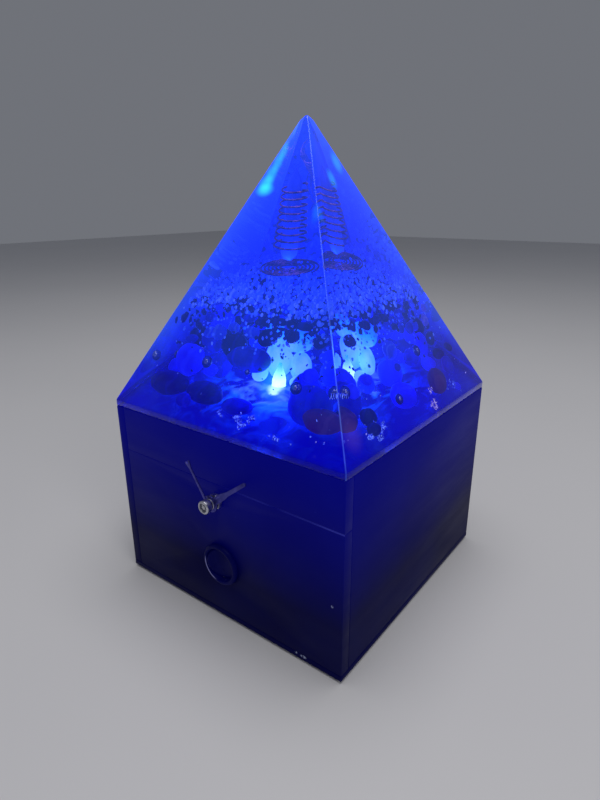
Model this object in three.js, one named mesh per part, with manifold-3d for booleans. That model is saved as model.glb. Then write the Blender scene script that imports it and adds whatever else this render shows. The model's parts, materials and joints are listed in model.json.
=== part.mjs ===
// Lamp and clock in one: a clear resin pyramid full of stones, lit from below,
// on a square painted box with quartz clock hands and a round rocker switch on its front.
// Millimetres. Origin at the centre of the underside, +Z up, the clock face looks along -Y.

import * as THREE from "three";
import { mergeVertices } from "three/addons/utils/BufferGeometryUtils.js";
import Module from "manifold-3d";

const wasm = await Module();
wasm.setup();

// ---------- Driving dimensions ----------

const gap = 0.3; // between neighbouring pieces
const jointGap = 0.15; // between glued boards

// Box of thin boards, joined pinwheel fashion: each wall runs past the next one at one end.
const boxSide = 150;
const boxHeight = 104.5;
const wall = 6;
const feltThickness = 1.2;
const feltSide = 143;
const baseThickness = 3;
const topPlateThickness = 4.95;
const seamHeight = 79.5; // between the front rail and the front panel
const battenSide = 10;

// Rear door on a piano hinge.
const doorwayHalfWidth = 50;
const doorwayLow = 12;
const doorwayHigh = 88;
const doorThickness = 5.4;
const hingeLeaf = 1;
const hingeAxisOut = 2; // hinge axis, outside the back of the box
const hingeKnuckles = 6;
const knuckleRadius = 1.7;
const hingePinRadius = 0.9;

// Quartz clock.
const hubX = 0.5;
const hubZ = 71;
const caseWidth = 55;
const caseLow = 44.4;
const caseHigh = 97.7;
const caseDepth = 15.5;
const caseWall = 1.3;
const gearBayLow = 60.4; // the cell lies below it, the gears turn above it
const arborRadius = 1.05;
const hourPipeRadius = 1.75;
const bushingRadius = 2.7;
const motionShaftRadius = 0.8;
const runningClearance = 0.1;
const hourAngle = 52.5; // clockwise from twelve, degrees
const minuteAngle = -33;
const hourLength = 30;
const minuteLength = 23.8;
const handNutRadius = 3.5;
const handNutLength = 3;

// Motion work, twelve to one.
const cannonTeeth = 12;
const minuteWheelTeeth = 36;
const minuteModule = 0.5;
const pinionTeeth = 10;
const hourWheelTeeth = 40;
const hourModule = 0.48;
const motionWheelDirection = 45; // from +X towards +Z, degrees

// Round rocker switch.
const switchX = 1;
const switchZ = 34;
const bezelRadius = 11.4;
const barrelRadius = 9.9;
const switchBore = 9.2;
const rockerRadius = 8.5;
const rockerTilt = 9; // its right half is pressed in
const rockerPivotBack = 3.7; // behind the front of the bezel's flange
const switchRear = -56.5;
const terminalSpread = 4;
const terminalThickness = 0.8;

// Lamp.
const lampX = -2;
const lampY = -1;
const lampHole = 12;
const starThickness = 1.6;
const heatsinkRadius = 19;
const heatsinkThickness = 6;
const grooveWidth = 2.8;
const groovePitch = 6;
const cellRadius = 7;
const cellLength = 49.5;
const trayWall = 1.6;
const trayHeight = 13;
const leadRadius = 1.1;

// Resin pyramid, poured in layers.
const skirtHeight = 3.4;
const pyramidHeight = 144;
const tipCut = 2.4; // the tip is blunt by this much
const chipBedLow = 149;
const quartzBedLow = 157;
const quartzBedHigh = 166;
const coilX = -6;
const coilY = 6;
const spiralWire = 0.8;
const spiralInner = 3.5;
const spiralOuter = 17;
const spiralTurns = 5;
const helixWire = 0.6;
const helixLow = 179;
const helixHigh = 212;
const helixWide = 9;
const helixNarrow = 6.8;
const helixTurns = 9;
const pointLow = 173;
const pointShoulder = 214;
const pointHigh = 221.5;
const pointRadius = 5.2;

// ---------- Derived places ----------

const half = boxSide / 2;
const inner = half - wall;
const baseLow = feltThickness + jointGap;
const baseTop = baseLow + baseThickness;
const wallLow = baseTop + jointGap;
const wallTop = boxHeight - jointGap;
const plateLow = wallTop - topPlateThickness;
const front = -half;
const panelBack = -inner;
const caseFront = panelBack + gap;
const caseBack = caseFront + caseDepth;
const skirtTop = boxHeight + skirtHeight;
const apex = skirtTop + pyramidHeight;

// ---------- Materials ----------

const finish = (color, roughness, metalness = 0) =>
  new THREE.MeshStandardMaterial({ color, roughness, metalness });

const paint = finish(0x10133f, 0.45);
const bareWood = finish(0x8a6a48, 0.8);
const felt = finish(0x15151a, 1);
const steel = finish(0xa9adb5, 0.35, 1);
const brass = finish(0xb08d4a, 0.35, 1);
const copper = finish(0xa2573a, 0.35, 1);
const aluminium = finish(0xc4c8cf, 0.4, 1);
const blackPlastic = finish(0x0b0b10, 0.4);
const whitePlastic = finish(0xd9d9d4, 0.5);
const board = finish(0x1c5a35, 0.6);
const cellSleeve = finish(0x3a3c44, 0.4);
const resin = finish(0x1b2cff, 0.1);
const paleResin = finish(0x6f8dff, 0.3);
const darkStone = finish(0x151a5e, 0.4);
const blueStone = finish(0x2a3be0, 0.35);
const amberStone = finish(0x8a4a3c, 0.4);
const crystal = finish(0xc8d4ff, 0.15);
const lens = finish(0xf2f6ff, 0.1);

// ---------- Solids ----------

function toSolid(geometry) {
  const bare = geometry.clone();
  bare.deleteAttribute("normal");
  bare.deleteAttribute("uv");
  const merged = mergeVertices(bare, 1e-4);
  return new wasm.Manifold(
    new wasm.Mesh({
      numProp: 3,
      vertProperties: new Float32Array(merged.attributes.position.array),
      triVerts: new Uint32Array(merged.index.array),
    }),
  );
}

function toGeometry(solid) {
  const mesh = solid.getMesh();
  const geometry = new THREE.BufferGeometry();
  geometry.setAttribute("position", new THREE.BufferAttribute(mesh.vertProperties, 3));
  geometry.setIndex(new THREE.BufferAttribute(mesh.triVerts, 1));
  geometry.computeVertexNormals();
  return geometry;
}

function combine(first, others, how) {
  let solid = toSolid(first);
  for (const other of others) solid = solid[how](toSolid(other));
  return toGeometry(solid);
}

const cut = (body, ...tools) => combine(body, tools, "subtract");
const join = (body, ...pieces) => combine(body, pieces, "add");
const common = (body, ...limits) => combine(body, limits, "intersect");

// ---------- Basic shapes, each in its place ----------

function block([x0, x1], [y0, y1], [z0, z1]) {
  const shape = new THREE.BoxGeometry(x1 - x0, y1 - y0, z1 - z0);
  return shape.translate((x0 + x1) / 2, (y0 + y1) / 2, (z0 + z1) / 2);
}

// An outline in x and z, from yBack forwards to yFront.
function sliceY(outline, yFront, yBack) {
  const options = { depth: yBack - yFront, bevelEnabled: false, curveSegments: 10 };
  const shape = new THREE.ExtrudeGeometry(outline, options);
  return shape.rotateX(Math.PI / 2).translate(0, yBack, 0);
}

// A profile of [radius, y] points turned about a line along Y.
function turnedY(profile, x, z, sides = 24) {
  const points = profile.map(([r, y]) => new THREE.Vector2(r, y));
  return new THREE.LatheGeometry(points, sides).translate(x, 0, z);
}

// The same for [radius, z] points about a line along Z.
function turnedZ(profile, x, y, sides = 24) {
  const points = profile.map(([r, z]) => new THREE.Vector2(r, z));
  const shape = new THREE.LatheGeometry(points, sides);
  return shape.rotateX(Math.PI / 2).translate(x, y, 0);
}

const rod = (radius, from, to) => [[0, from], [radius, from], [radius, to], [0, to]];

const ring = (outer, bore, from, to) => [
  [bore, from], [outer, from], [outer, to], [bore, to], [bore, from],
];

const degrees = THREE.MathUtils.degToRad;

function circleOutline(radius) {
  return new THREE.Path().absarc(0, 0, radius, 0, Math.PI * 2, true);
}

// A rod of round section along a curve.
function wire(curve, radius, steps, sides = 6) {
  const section = new THREE.Shape();
  for (let i = 0; i < sides; i++) {
    const turn = (i / sides) * Math.PI * 2;
    const x = radius * Math.cos(turn);
    const y = radius * Math.sin(turn);
    if (i) section.lineTo(x, y);
    else section.moveTo(x, y);
  }
  return new THREE.ExtrudeGeometry(section, { steps, extrudePath: curve, bevelEnabled: false });
}

const object = new THREE.Group();

function add(name, geometry, material) {
  const mesh = new THREE.Mesh(geometry, material);
  mesh.name = name;
  object.add(mesh);
}

// ---------- Box ----------

const battenReach = inner - gap;
const battenCentre = battenReach - battenSide / 2;
const screwTip = 18;
const screwRadius = 1.5;
const screwHeadRadius = 3;

const corners = [
  ["front_left", -1, -1],
  ["front_right", 1, -1],
  ["rear_right", 1, 1],
  ["rear_left", -1, 1],
];

function screwProfile(extra) {
  const head = baseLow + 0.2;
  return [
    [0, head - extra],
    [screwHeadRadius + extra, head - extra],
    [screwRadius + extra, head + 1.7],
    [screwRadius + extra, screwTip - 2],
    [0, screwTip + extra],
  ];
}

function makeBox() {
  const felted = feltSide / 2;
  add("felt_pad", block([-felted, felted], [-felted, felted], [0, feltThickness]), felt);

  const holes = corners.map(([, sx, sy]) =>
    turnedZ(screwProfile(gap), sx * battenCentre, sy * battenCentre, 12));
  const base = block([-half, half], [-half, half], [baseLow, baseTop]);
  add("base_plate", cut(base, ...holes), paint);

  const past = inner - jointGap; // where a wall butts against its neighbour
  const tall = [wallLow, wallTop];
  add("wall_left", block([-half, -inner], [-half, past], tall), paint);
  add("wall_right", block([inner, half], [-past, half], tall), paint);

  const doorway = block(
    [-doorwayHalfWidth, doorwayHalfWidth], [inner - 1, half + 1], [doorwayLow, doorwayHigh]);
  add("wall_back", cut(block([-half, past], [inner, half], tall), doorway), paint);

  const railLow = seamHeight + jointGap / 2;
  const panelHigh = seamHeight - jointGap / 2;
  add("front_rail", block([-past, half], [front, panelBack], [railLow, wallTop]), paint);
  const panel = block([-past, half], [front, panelBack], [wallLow, panelHigh]);
  const hubHole = turnedY(rod(bushingRadius + gap, front - 1, panelBack + 1), hubX, hubZ);
  const switchHole = turnedY(
    rod(barrelRadius + gap, front - 1, panelBack + 1), switchX, switchZ, 32);
  add("front_panel", cut(panel, hubHole, switchHole), paint);

  const top = block([-inner + gap, inner - gap], [-inner + gap, inner - gap], [plateLow, wallTop]);
  const lampWindow = turnedZ(rod(lampHole, plateLow - 1, wallTop + 1), lampX, lampY, 32);
  add("top_plate", cut(top, lampWindow), bareWood);

  corners.forEach(([name, sx, sy], i) => {
    const far = battenReach;
    const near = battenReach - battenSide;
    const span = (sign) => (sign > 0 ? [near, far] : [-far, -near]);
    const batten = block(span(sx), span(sy), [baseTop + gap, plateLow - gap]);
    add("corner_batten_" + name, cut(batten, holes[i]), bareWood);
    const screw = turnedZ(screwProfile(0), sx * battenCentre, sy * battenCentre, 12);
    add("base_screw_" + name, screw, steel);
  });
}

// ---------- Rear door ----------

const hingeX = -doorwayHalfWidth;
const hingeY = half + hingeAxisOut;
const hingeLow = doorwayLow + 2;
const hingeHigh = doorwayHigh - 2;

// One leaf: a strip beside the axis, with every second knuckle. side is -1 on the wall, 1 on the door.
function hingeLeafSolid(side) {
  const leafNear = knuckleRadius + 0.4;
  const leafFar = 11;
  const leafY = [half + gap, half + gap + hingeLeaf];
  const across = (from, to) =>
    side < 0 ? [hingeX - to, hingeX - from] : [hingeX + from, hingeX + to];
  const pieces = [];
  const length = (hingeHigh - hingeLow) / hingeKnuckles;
  for (let i = side < 0 ? 0 : 1; i < hingeKnuckles; i += 2) {
    const low = hingeLow + i * length + gap / 2;
    const high = low + length - gap;
    pieces.push(block(across(1.25, leafNear + 0.1), leafY, [low, high]));
    pieces.push(turnedZ(
      ring(knuckleRadius, hingePinRadius + runningClearance - 0.02, low, high), hingeX, hingeY, 16));
  }
  return join(block(across(leafNear, leafFar), leafY, [hingeLow, hingeHigh]), ...pieces);
}

function makeDoor() {
  const doorEdge = doorwayHalfWidth - 0.8;
  add(
    "rear_door",
    block([hingeX + 0.4, doorEdge], [half - doorThickness, half],
      [doorwayLow + 0.5, doorwayHigh - 0.5]),
    paint,
  );
  add("hinge_leaf_wall", hingeLeafSolid(-1), brass);
  add("hinge_leaf_door", hingeLeafSolid(1), brass);
  add("hinge_pin", turnedZ(rod(hingePinRadius, hingeLow, hingeHigh), hingeX, hingeY, 16), brass);

  const knobBack = half + gap;
  const knobProfile = [
    [0, knobBack], [4, knobBack], [2.6, knobBack + 2], [4.6, knobBack + 4],
    [4.2, knobBack + 6], [0, knobBack + 6.6],
  ];
  add("door_knob", turnedY(knobProfile, 40, (doorwayLow + doorwayHigh) / 2, 20), brass);

  // The magnet's nose reaches behind the free edge of the door.
  const magnetZ = [44, 56];
  const magnetFront = 61;
  const body = block(
    [doorwayHalfWidth + 1, battenReach - battenSide - gap], [magnetFront, inner - gap], magnetZ);
  const nose = block([43, doorwayHalfWidth + 1.2], [magnetFront, inner - 0.6], magnetZ);
  add("catch_magnet", join(body, nose), steel);
}

// ---------- Clock ----------

// A toothed outline. One tooth points along firstTooth, an angle in radians from +X.
function gearOutline(teeth, module, firstTooth) {
  const pitch = (teeth * module) / 2;
  const outer = pitch + 0.75 * module;
  const root = pitch - 1.15 * module;
  const step = (Math.PI * 2) / teeth;
  const corner = (radius, turn) => [radius * Math.cos(turn), radius * Math.sin(turn)];
  const outline = new THREE.Shape();
  for (let i = 0; i < teeth; i++) {
    const centre = firstTooth + i * step;
    const flank = [
      corner(root, centre - 0.3 * step), corner(outer, centre - 0.1 * step),
      corner(outer, centre + 0.1 * step), corner(root, centre + 0.3 * step),
    ];
    flank.forEach(([x, y], j) => {
      if (i || j) outline.lineTo(x, y);
      else outline.moveTo(x, y);
    });
  }
  return outline;
}

const motionTurn = degrees(motionWheelDirection);
const motionDistance = ((cannonTeeth + minuteWheelTeeth) * minuteModule) / 2;
const motionX = hubX + motionDistance * Math.cos(motionTurn);
const motionZ = hubZ + motionDistance * Math.sin(motionTurn);

const bayFront = caseFront + 1.5;
const hourWheelY = [bayFront + 1.8, bayFront + 2.8];
const minuteWheelY = [bayFront + 3.6, bayFront + 5];
const coverY = [caseBack - 1.5, caseBack - gap];

const gearBayHigh = caseHigh - caseWall;
const caseSide = caseWidth / 2;

function makeMovementCase() {
  const shell = block([-caseSide, caseSide], [caseFront, caseBack], [caseLow, caseHigh]);
  const baySide = caseSide - caseWall;
  const open = caseBack + 1;
  const gearBay = block([-baySide, baySide], [bayFront, open], [gearBayLow, gearBayHigh]);
  const cellSide = cellLength / 2 + 1;
  const cellBayZ = [caseLow + 1, gearBayLow - 0.8];
  const cellBay = block([-cellSide, cellSide], [caseFront + 1.2, open], cellBayZ);
  const hubHole = turnedY(rod(bushingRadius + gap, caseFront - 1, bayFront + 1), hubX, hubZ);
  add("movement_case", cut(shell, gearBay, cellBay, hubHole), blackPlastic);

  // The clock's own cell has a slightly thinner sleeve than the lamp's.
  const sleeve = cellRadius - 0.15;
  const cellZ = (cellBayZ[0] + cellBayZ[1]) / 2;
  add("clock_cell", cellAlongX(0, caseFront + 1.5 + sleeve, cellZ, sleeve), cellSleeve);

  const coverSide = baySide - gap;
  const cover = block(
    [-coverSide, coverSide], coverY, [gearBayLow + gap, gearBayHigh - gap]);
  const shaftHole = turnedY(rod(1.4, coverY[0] - 1, coverY[1] + 1), motionX, motionZ, 16);
  add("movement_cover", cut(cover, shaftHole), whitePlastic);
}

// The threaded bushing comes out through the front panel and takes a hexagon nut.
function makeBushing() {
  const flangeRadius = 5;
  const flangeY = bayFront + gap;
  const bushingFront = front - 3.2;
  const bore = hourPipeRadius + runningClearance;
  const bushing = [
    [bore, bushingFront],
    [bushingRadius, bushingFront],
    [bushingRadius, flangeY],
    [flangeRadius, flangeY],
    [flangeRadius, flangeY + 1],
    [bore, flangeY + 1],
    [bore, bushingFront],
  ];
  add("clock_bushing", turnedY(bushing, hubX, hubZ), brass);

  const nut = new THREE.Shape();
  const acrossCorners = 4.1;
  for (let i = 0; i < 6; i++) {
    const turn = degrees(60 * i + 15);
    nut[i ? "lineTo" : "moveTo"](acrossCorners * Math.cos(turn), acrossCorners * Math.sin(turn));
  }
  nut.holes.push(circleOutline(bushingRadius + gap));
  add("bushing_nut", sliceY(nut, front - 2.6, front - gap).translate(hubX, 0, hubZ), steel);
}

// Drive coil of the stepping motor, a bobbin lying along X.
function makeDriveCoil() {
  const reach = 9;
  const cheek = 1.2;
  const cheekRadius = 4.3;
  const windingRadius = 3.4;
  const bobbin = turnedZ([
    [0, -reach],
    [cheekRadius, -reach],
    [cheekRadius, cheek - reach],
    [windingRadius, cheek - reach],
    [windingRadius, reach - cheek],
    [cheekRadius, reach - cheek],
    [cheekRadius, reach],
    [0, reach],
  ], 0, 0, 16).rotateY(Math.PI / 2);
  add("drive_coil", bobbin.translate(-15.5, bayFront + 6, gearBayHigh - 5.2), copper);
}

function cellAlongX(x, y, z, radius = cellRadius) {
  const reach = cellLength / 2;
  const profile = [[0, -reach], [radius, -reach], [radius, reach - 1],
    [2.7, reach - 1], [2.7, reach], [0, reach]];
  return turnedZ(profile, 0, 0, 20).rotateY(Math.PI / 2).translate(x, y, z);
}

const hourHandY = [front - 5, front - 4.2];
const hourPipeFront = front - 5.6;
const minuteHandY = [front - 6.6, front - 6];
const handNutFront = minuteHandY[0] - gap - handNutLength;
const arborFront = handNutFront + 0.5;

function makeMotionWork() {
  const towards = motionTurn;
  const back = motionTurn + Math.PI;
  const halfTurn = Math.PI;

  // Hour wheel on the pipe that carries the hour hand.
  const bore = arborRadius + runningClearance;
  const hourOutline = gearOutline(hourWheelTeeth, hourModule, towards);
  const hourWheel = cut(
    join(
      sliceY(hourOutline, ...hourWheelY),
      turnedY(rod(hourPipeRadius, hourPipeFront, hourWheelY[1]), 0, 0),
    ),
    turnedY(rod(bore, hourPipeFront - 1, hourWheelY[1] + 1), 0, 0),
  );
  add("hour_wheel", hourWheel.translate(hubX, 0, hubZ), brass);

  // Minute arbor with its cannon pinion.
  const cannonOutline = gearOutline(cannonTeeth, minuteModule, towards);
  const arbor = join(
    turnedY(rod(arborRadius, arborFront, coverY[0] - 0.8), 0, 0),
    sliceY(cannonOutline, minuteWheelY[0] - 0.3, minuteWheelY[1] + 0.3),
  );
  add("minute_arbor", arbor.translate(hubX, 0, hubZ), brass);

  // The motion wheel has a gap towards the hub, where the others have a tooth.
  const wheelTurn = back + halfTurn / minuteWheelTeeth;
  const pinionTurn = back + halfTurn / pinionTeeth;
  const motion = join(
    turnedY(rod(motionShaftRadius, bayFront + gap, caseBack + 2.7), 0, 0, 16),
    sliceY(gearOutline(minuteWheelTeeth, minuteModule, wheelTurn), ...minuteWheelY),
    sliceY(gearOutline(pinionTeeth, hourModule, pinionTurn), hourWheelY[0] - 0.2, hourWheelY[1] + 0.2),
  );
  add("motion_wheel", motion.translate(motionX, 0, motionZ), brass);

  const knobFront = caseBack + gap;
  const knobBore = motionShaftRadius + gap;
  const knob = turnedY(ring(5, knobBore, knobFront, knobFront + 3), motionX, motionZ, 14);
  add("set_knob", knob, whitePlastic);
}

// Hands are drawn pointing at twelve and then turned clockwise to the time.
function makeHands() {
  const hour = new THREE.Shape();
  hour.absarc(0, 0, 4.4, degrees(115), degrees(65), false);
  hour.lineTo(1.9, 6.6);
  hour.quadraticCurveTo(2, 11, 1.1, 14.5);
  hour.lineTo(0.9, hourLength - 0.8);
  hour.lineTo(0.3, hourLength);
  hour.lineTo(-0.3, hourLength);
  hour.lineTo(-0.9, hourLength - 0.8);
  hour.lineTo(-1.1, 14.5);
  hour.quadraticCurveTo(-2, 11, -1.9, 6.6);
  hour.closePath();
  hour.holes.push(circleOutline(hourPipeRadius + gap));
  addHand("hour_hand", hour, hourHandY, hourAngle);

  // The minute hand is a thin strip that ends in a small fork.
  const minute = new THREE.Shape();
  minute.absarc(0, 0, 2.8, degrees(104), degrees(76), false);
  minute.lineTo(0.6, minuteLength - 4);
  minute.lineTo(1.7, minuteLength - 0.4);
  minute.lineTo(0.9, minuteLength);
  minute.lineTo(0, minuteLength - 2);
  minute.lineTo(-0.9, minuteLength);
  minute.lineTo(-1.7, minuteLength - 0.4);
  minute.lineTo(-0.6, minuteLength - 4);
  minute.closePath();
  minute.holes.push(circleOutline(arborRadius + gap));
  addHand("minute_hand", minute, minuteHandY, minuteAngle);

  // Open nut that holds the minute hand on its arbor.
  const rear = minuteHandY[0] - gap;
  const bore = arborRadius + gap;
  const lip = handNutRadius - 1.1;
  const floor = rear - 1.2;
  const nut = [
    [bore, rear],
    [bore, floor],
    [lip, floor],
    [lip, handNutFront],
    [handNutRadius - 0.4, handNutFront],
    [handNutRadius, handNutFront + 0.4],
    [handNutRadius, rear],
    [bore, rear],
  ];
  add("hand_nut", turnedY(nut, hubX, hubZ), aluminium);
}

function addHand(name, outline, [yFront, yBack], angle) {
  const hand = sliceY(outline, yFront, yBack).rotateY(degrees(angle));
  add(name, hand.translate(hubX, 0, hubZ), aluminium);
}

// ---------- Rocker switch ----------

function makeSwitch() {
  const flangeBack = front - gap;
  const flangeFront = flangeBack - 2.1;
  const floor = switchRear - 1.5;
  const bevel = 0.9;
  const body = [
    [0, floor],
    [switchBore, floor],
    [switchBore, flangeFront],
    [bezelRadius - bevel, flangeFront],
    [bezelRadius, flangeFront + bevel],
    [bezelRadius, flangeBack],
    [barrelRadius, flangeBack],
    [barrelRadius, switchRear],
    [0, switchRear],
  ];
  add("switch_body", turnedY(body, switchX, switchZ, 32), blackPlastic);

  // The rocker has a shallow valley across its face and turns on an upright pin.
  const r = rockerRadius;
  const side = new THREE.Shape();
  side.moveTo(-r, 3.2);
  side.quadraticCurveTo(0, 1, r, 3.2);
  side.lineTo(r, -0.5);
  side.lineTo(3, -4);
  side.lineTo(-3, -4);
  side.lineTo(-r, -0.5);
  side.closePath();
  const slab = new THREE.ExtrudeGeometry(side, {
    depth: 2 * r, bevelEnabled: false, curveSegments: 6 });
  slab.translate(0, 0, -r).rotateZ(Math.PI);
  const pinRadius = 0.9;
  const pinReach = switchBore - 0.2;
  const rocker = cut(
    common(slab, turnedY(rod(r, -6, 6), 0, 0, 32)),
    turnedZ(rod(pinRadius + runningClearance - 0.01, -r - 1, r + 1), 0, 0, 16),
  );
  const pivotY = flangeFront + rockerPivotBack;
  rocker.rotateZ(degrees(rockerTilt)).translate(switchX, pivotY, switchZ);
  add("switch_rocker", rocker, blackPlastic);
  add("switch_pin", turnedZ(rod(pinRadius, switchZ - pinReach, switchZ + pinReach),
    switchX, pivotY, 16), steel);

  [-1, 1].forEach((side, i) => {
    const x = switchX + side * terminalSpread;
    const across = [x - terminalThickness / 2, x + terminalThickness / 2];
    const out = [switchRear + gap, switchRear + 8];
    add("switch_terminal_" + (i + 1), block(across, out, [switchZ - 3, switchZ + 3]), brass);
  });
}

// ---------- Lamp ----------

const heatsinkHigh = plateLow - gap;
const heatsinkLow = heatsinkHigh - heatsinkThickness;

// The heatsink hangs under the top plate, with cooling grooves across its underside.
function makeHeatsink() {
  const acrossDisc = [lampX - heatsinkRadius - 1, lampX + heatsinkRadius + 1];
  const grooveZ = [heatsinkLow - 1, heatsinkLow + heatsinkThickness / 2];
  const grooves = [];
  for (let i = -2; i <= 2; i++) {
    const y = lampY + i * groovePitch;
    grooves.push(block(acrossDisc, [y - grooveWidth / 2, y + grooveWidth / 2], grooveZ));
  }
  const disc = turnedZ(rod(heatsinkRadius, heatsinkLow, heatsinkHigh), lampX, lampY, 28);
  add("heatsink", cut(disc, ...grooves), aluminium);
}

// Six-sided star board in the lamp window, under a flat lens dome.
function makeLight() {
  const starLow = plateLow;
  const star = turnedZ(rod(10, starLow, starLow + starThickness), lampX, lampY, 6);
  add("led_board", star, board);

  const lensLow = starLow + starThickness + gap;
  const collar = lensLow + 0.8;
  const domeRadius = 2.64;
  const domeHeight = 1.9;
  const dome = [[0, lensLow], [3.6, lensLow], [3.6, collar]];
  for (let i = 0; i < 5; i++) {
    const turn = degrees(18 * i);
    dome.push([domeRadius * Math.cos(turn), collar + domeHeight * Math.sin(turn)]);
  }
  dome.push([0, collar + domeHeight]);
  add("led_lens", turnedZ(dome, lampX, lampY, 20), lens);
}

// Driver board on two spacers on the right wall, with its three larger parts.
function makeDriver() {
  const boardX = inner - 4;
  const boardFront = boardX - 1.6;
  const spacerX = [boardX - 0.2, inner - gap];
  const partBack = boardFront + 0.2;
  const driver = join(
    block([boardFront, boardX], [-16, 16], [50, 72]),
    block(spacerX, [-14, -11], [52, 55]),
    block(spacerX, [11, 14], [67, 70]),
    block([boardX - 5, partBack], [-10, -3], [55, 66]),
    block([boardX - 4, partBack], [2, 6], [54, 61]),
    block([boardX - 3, partBack], [8, 13], [58, 66]),
  );
  add("driver_board", driver, board);
}

function makeBatteries() {
  const trayLow = baseTop + gap;
  const trayFloor = trayLow + 1.4;
  const trayX = [-29.5, 29.5];
  const trayY = [10, 57.2];
  const within = ([low, high], edge) => [low + edge, high - edge];
  const hollow = block(
    within(trayX, trayWall), within(trayY, 1.2), [trayFloor, trayLow + trayHeight + 1]);
  const shell = block(trayX, trayY, [trayLow, trayLow + trayHeight]);
  add("battery_tray", cut(shell, hollow), blackPlastic);

  const pitch = 2 * cellRadius + 0.6;
  const middle = (trayY[0] + trayY[1]) / 2;
  for (let i = 0; i < 3; i++) {
    const cell = cellAlongX(0, middle + (i - 1) * pitch, trayFloor + gap + cellRadius);
    add("lamp_cell_" + (i + 1), cell, cellSleeve);
  }
}

function addLead(name, points) {
  const path = new THREE.CatmullRomCurve3(points.map((p) => new THREE.Vector3(...p)));
  add(name, wire(path, leadRadius, 18, 8), whitePlastic);
}

function makeLeads() {
  addLead("battery_lead", [
    [30.4, 30, 12], [36, 30, 12], [48, 22, 20], [58, 8, 38], [60.6, 0, 46], [61.8, 0, 51],
  ]);
  const rim = lampX + heatsinkRadius + 1;
  addLead("lamp_lead", [
    [61.8, 0, 71], [58, 0, 78], [45, 0, 87], [rim + 13, lampY, 91.5], [rim + 5, lampY, 94],
    [rim, lampY, 95.5],
  ]);
}

// ---------- Resin pyramid ----------

const halfAt = (z) => (half * (apex - z)) / pyramidHeight;

// A square layer: [half width, z] points turned with four sides and squared to the box.
function squareLayer(profile) {
  const points = profile.map(([w, z]) => new THREE.Vector2(w * Math.SQRT2, z));
  const shape = new THREE.LatheGeometry(points, 4);
  return shape.rotateY(Math.PI / 4).rotateX(Math.PI / 2);
}

function pour(low, high) {
  return squareLayer([[0, low], [halfAt(low), low], [halfAt(high), high], [0, high]]);
}

class Spiral extends THREE.Curve {
  constructor(place, turns) {
    super();
    this.place = place; // gives [radius, height] from 0 to 1 along the wire
    this.turns = turns;
  }

  getPoint(t, target = new THREE.Vector3()) {
    const [radius, z] = this.place(t);
    const turn = t * this.turns * Math.PI * 2;
    return target.set(coilX + radius * Math.cos(turn), coilY + radius * Math.sin(turn), z);
  }
}

// Tumbled stones: name, centre, half sizes, material. Each lies in a pocket open underneath.
const stones = [
  ["round_stone", [-36, -47, 128.5], [9.5, 8.5, 9], blueStone],
  ["long_stone", [-1, -40, 133], [14, 8, 6.5], darkStone],
  ["amber_stone", [51, -53, 116.5], [10.5, 8, 5.5], amberStone],
];

function pebble([x, y, z], [a, b, c], extra) {
  const shape = new THREE.SphereGeometry(1, 14, 8).rotateX(Math.PI / 2);
  return shape.scale(a + extra, b + extra, c + extra).translate(x, y, z);
}

function pocket([x, y, z], size) {
  const [a, b] = size;
  const shaft = new THREE.CylinderGeometry(1, 1, 1, 14).rotateX(Math.PI / 2);
  shaft.scale(a + gap, b + gap, z - boxHeight + 1);
  shaft.translate(x, y, (z + boxHeight - 1) / 2);
  return join(pebble([x, y, z], size, gap * 1.3), shaft);
}

function makeResin() {
  const base = squareLayer([
    [0, boxHeight], [half, boxHeight], [half, skirtTop],
    [halfAt(chipBedLow - jointGap), chipBedLow - jointGap], [0, chipBedLow - jointGap],
  ]);
  const pockets = stones.map(([, centre, size]) => pocket(centre, size));
  add("resin_base", cut(base, ...pockets), resin);
  for (const [name, centre, size, material] of stones)
    add(name, pebble(centre, size, 0), material);

  add("chip_bed", pour(chipBedLow, quartzBedLow - jointGap), darkStone);
  add("quartz_bed", pour(quartzBedLow, quartzBedHigh - jointGap), paleResin);

}

// The tip holds a quartz point inside a copper helix, over a flat copper spiral.
function makeTip() {
  const spiralHigh = quartzBedHigh + 3.4;
  const spiralClear = spiralOuter + 1.2;
  const hollow = turnedZ([
    [0, quartzBedHigh - 1],
    [spiralClear, quartzBedHigh - 1],
    [spiralClear, spiralHigh],
    [helixWide + 2, spiralHigh + 1],
    [helixNarrow + 1.8, pointShoulder],
    [1.5, pointHigh + 2.5],
    [0, pointHigh + 2.5],
  ], coilX, coilY, 24);
  const shoulder = apex - 2 * tipCut;
  const top = apex - tipCut;
  const tip = squareLayer([
    [0, quartzBedHigh],
    [halfAt(quartzBedHigh), quartzBedHigh],
    [halfAt(shoulder), shoulder],
    [0.7, top],
    [0, top],
  ]);
  add("resin_tip", cut(tip, hollow), resin);

  const spiralPlace = (t) => [
    spiralInner + (spiralOuter - spiralInner) * t, quartzBedHigh + 2 * spiralWire];
  const flat = new Spiral(spiralPlace, spiralTurns);
  add("copper_spiral", wire(flat, spiralWire, 12 * spiralTurns, 4), copper);

  const helixPlace = (t) => [
    helixWide + (helixNarrow - helixWide) * t, helixLow + (helixHigh - helixLow) * t];
  const helix = new Spiral(helixPlace, helixTurns);
  add("copper_helix", wire(helix, helixWire, 12 * helixTurns, 4), copper);

  const blunt = pointRadius - 0.6;
  const point = turnedZ([
    [0, pointLow],
    [blunt, pointLow],
    [pointRadius, pointLow + 3],
    [blunt, pointShoulder],
    [0, pointHigh],
  ], coilX, coilY, 6);
  add("quartz_point", point, crystal);
}

makeBox();
makeDoor();
makeMovementCase();
makeBushing();
makeDriveCoil();
makeMotionWork();
makeHands();
makeSwitch();
makeHeatsink();
makeLight();
makeDriver();
makeBatteries();
makeLeads();
makeResin();
makeTip();

export default object;
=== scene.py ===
import json
import math
import random

import bmesh
import bpy
from mathutils import Matrix, Vector, noise


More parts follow.
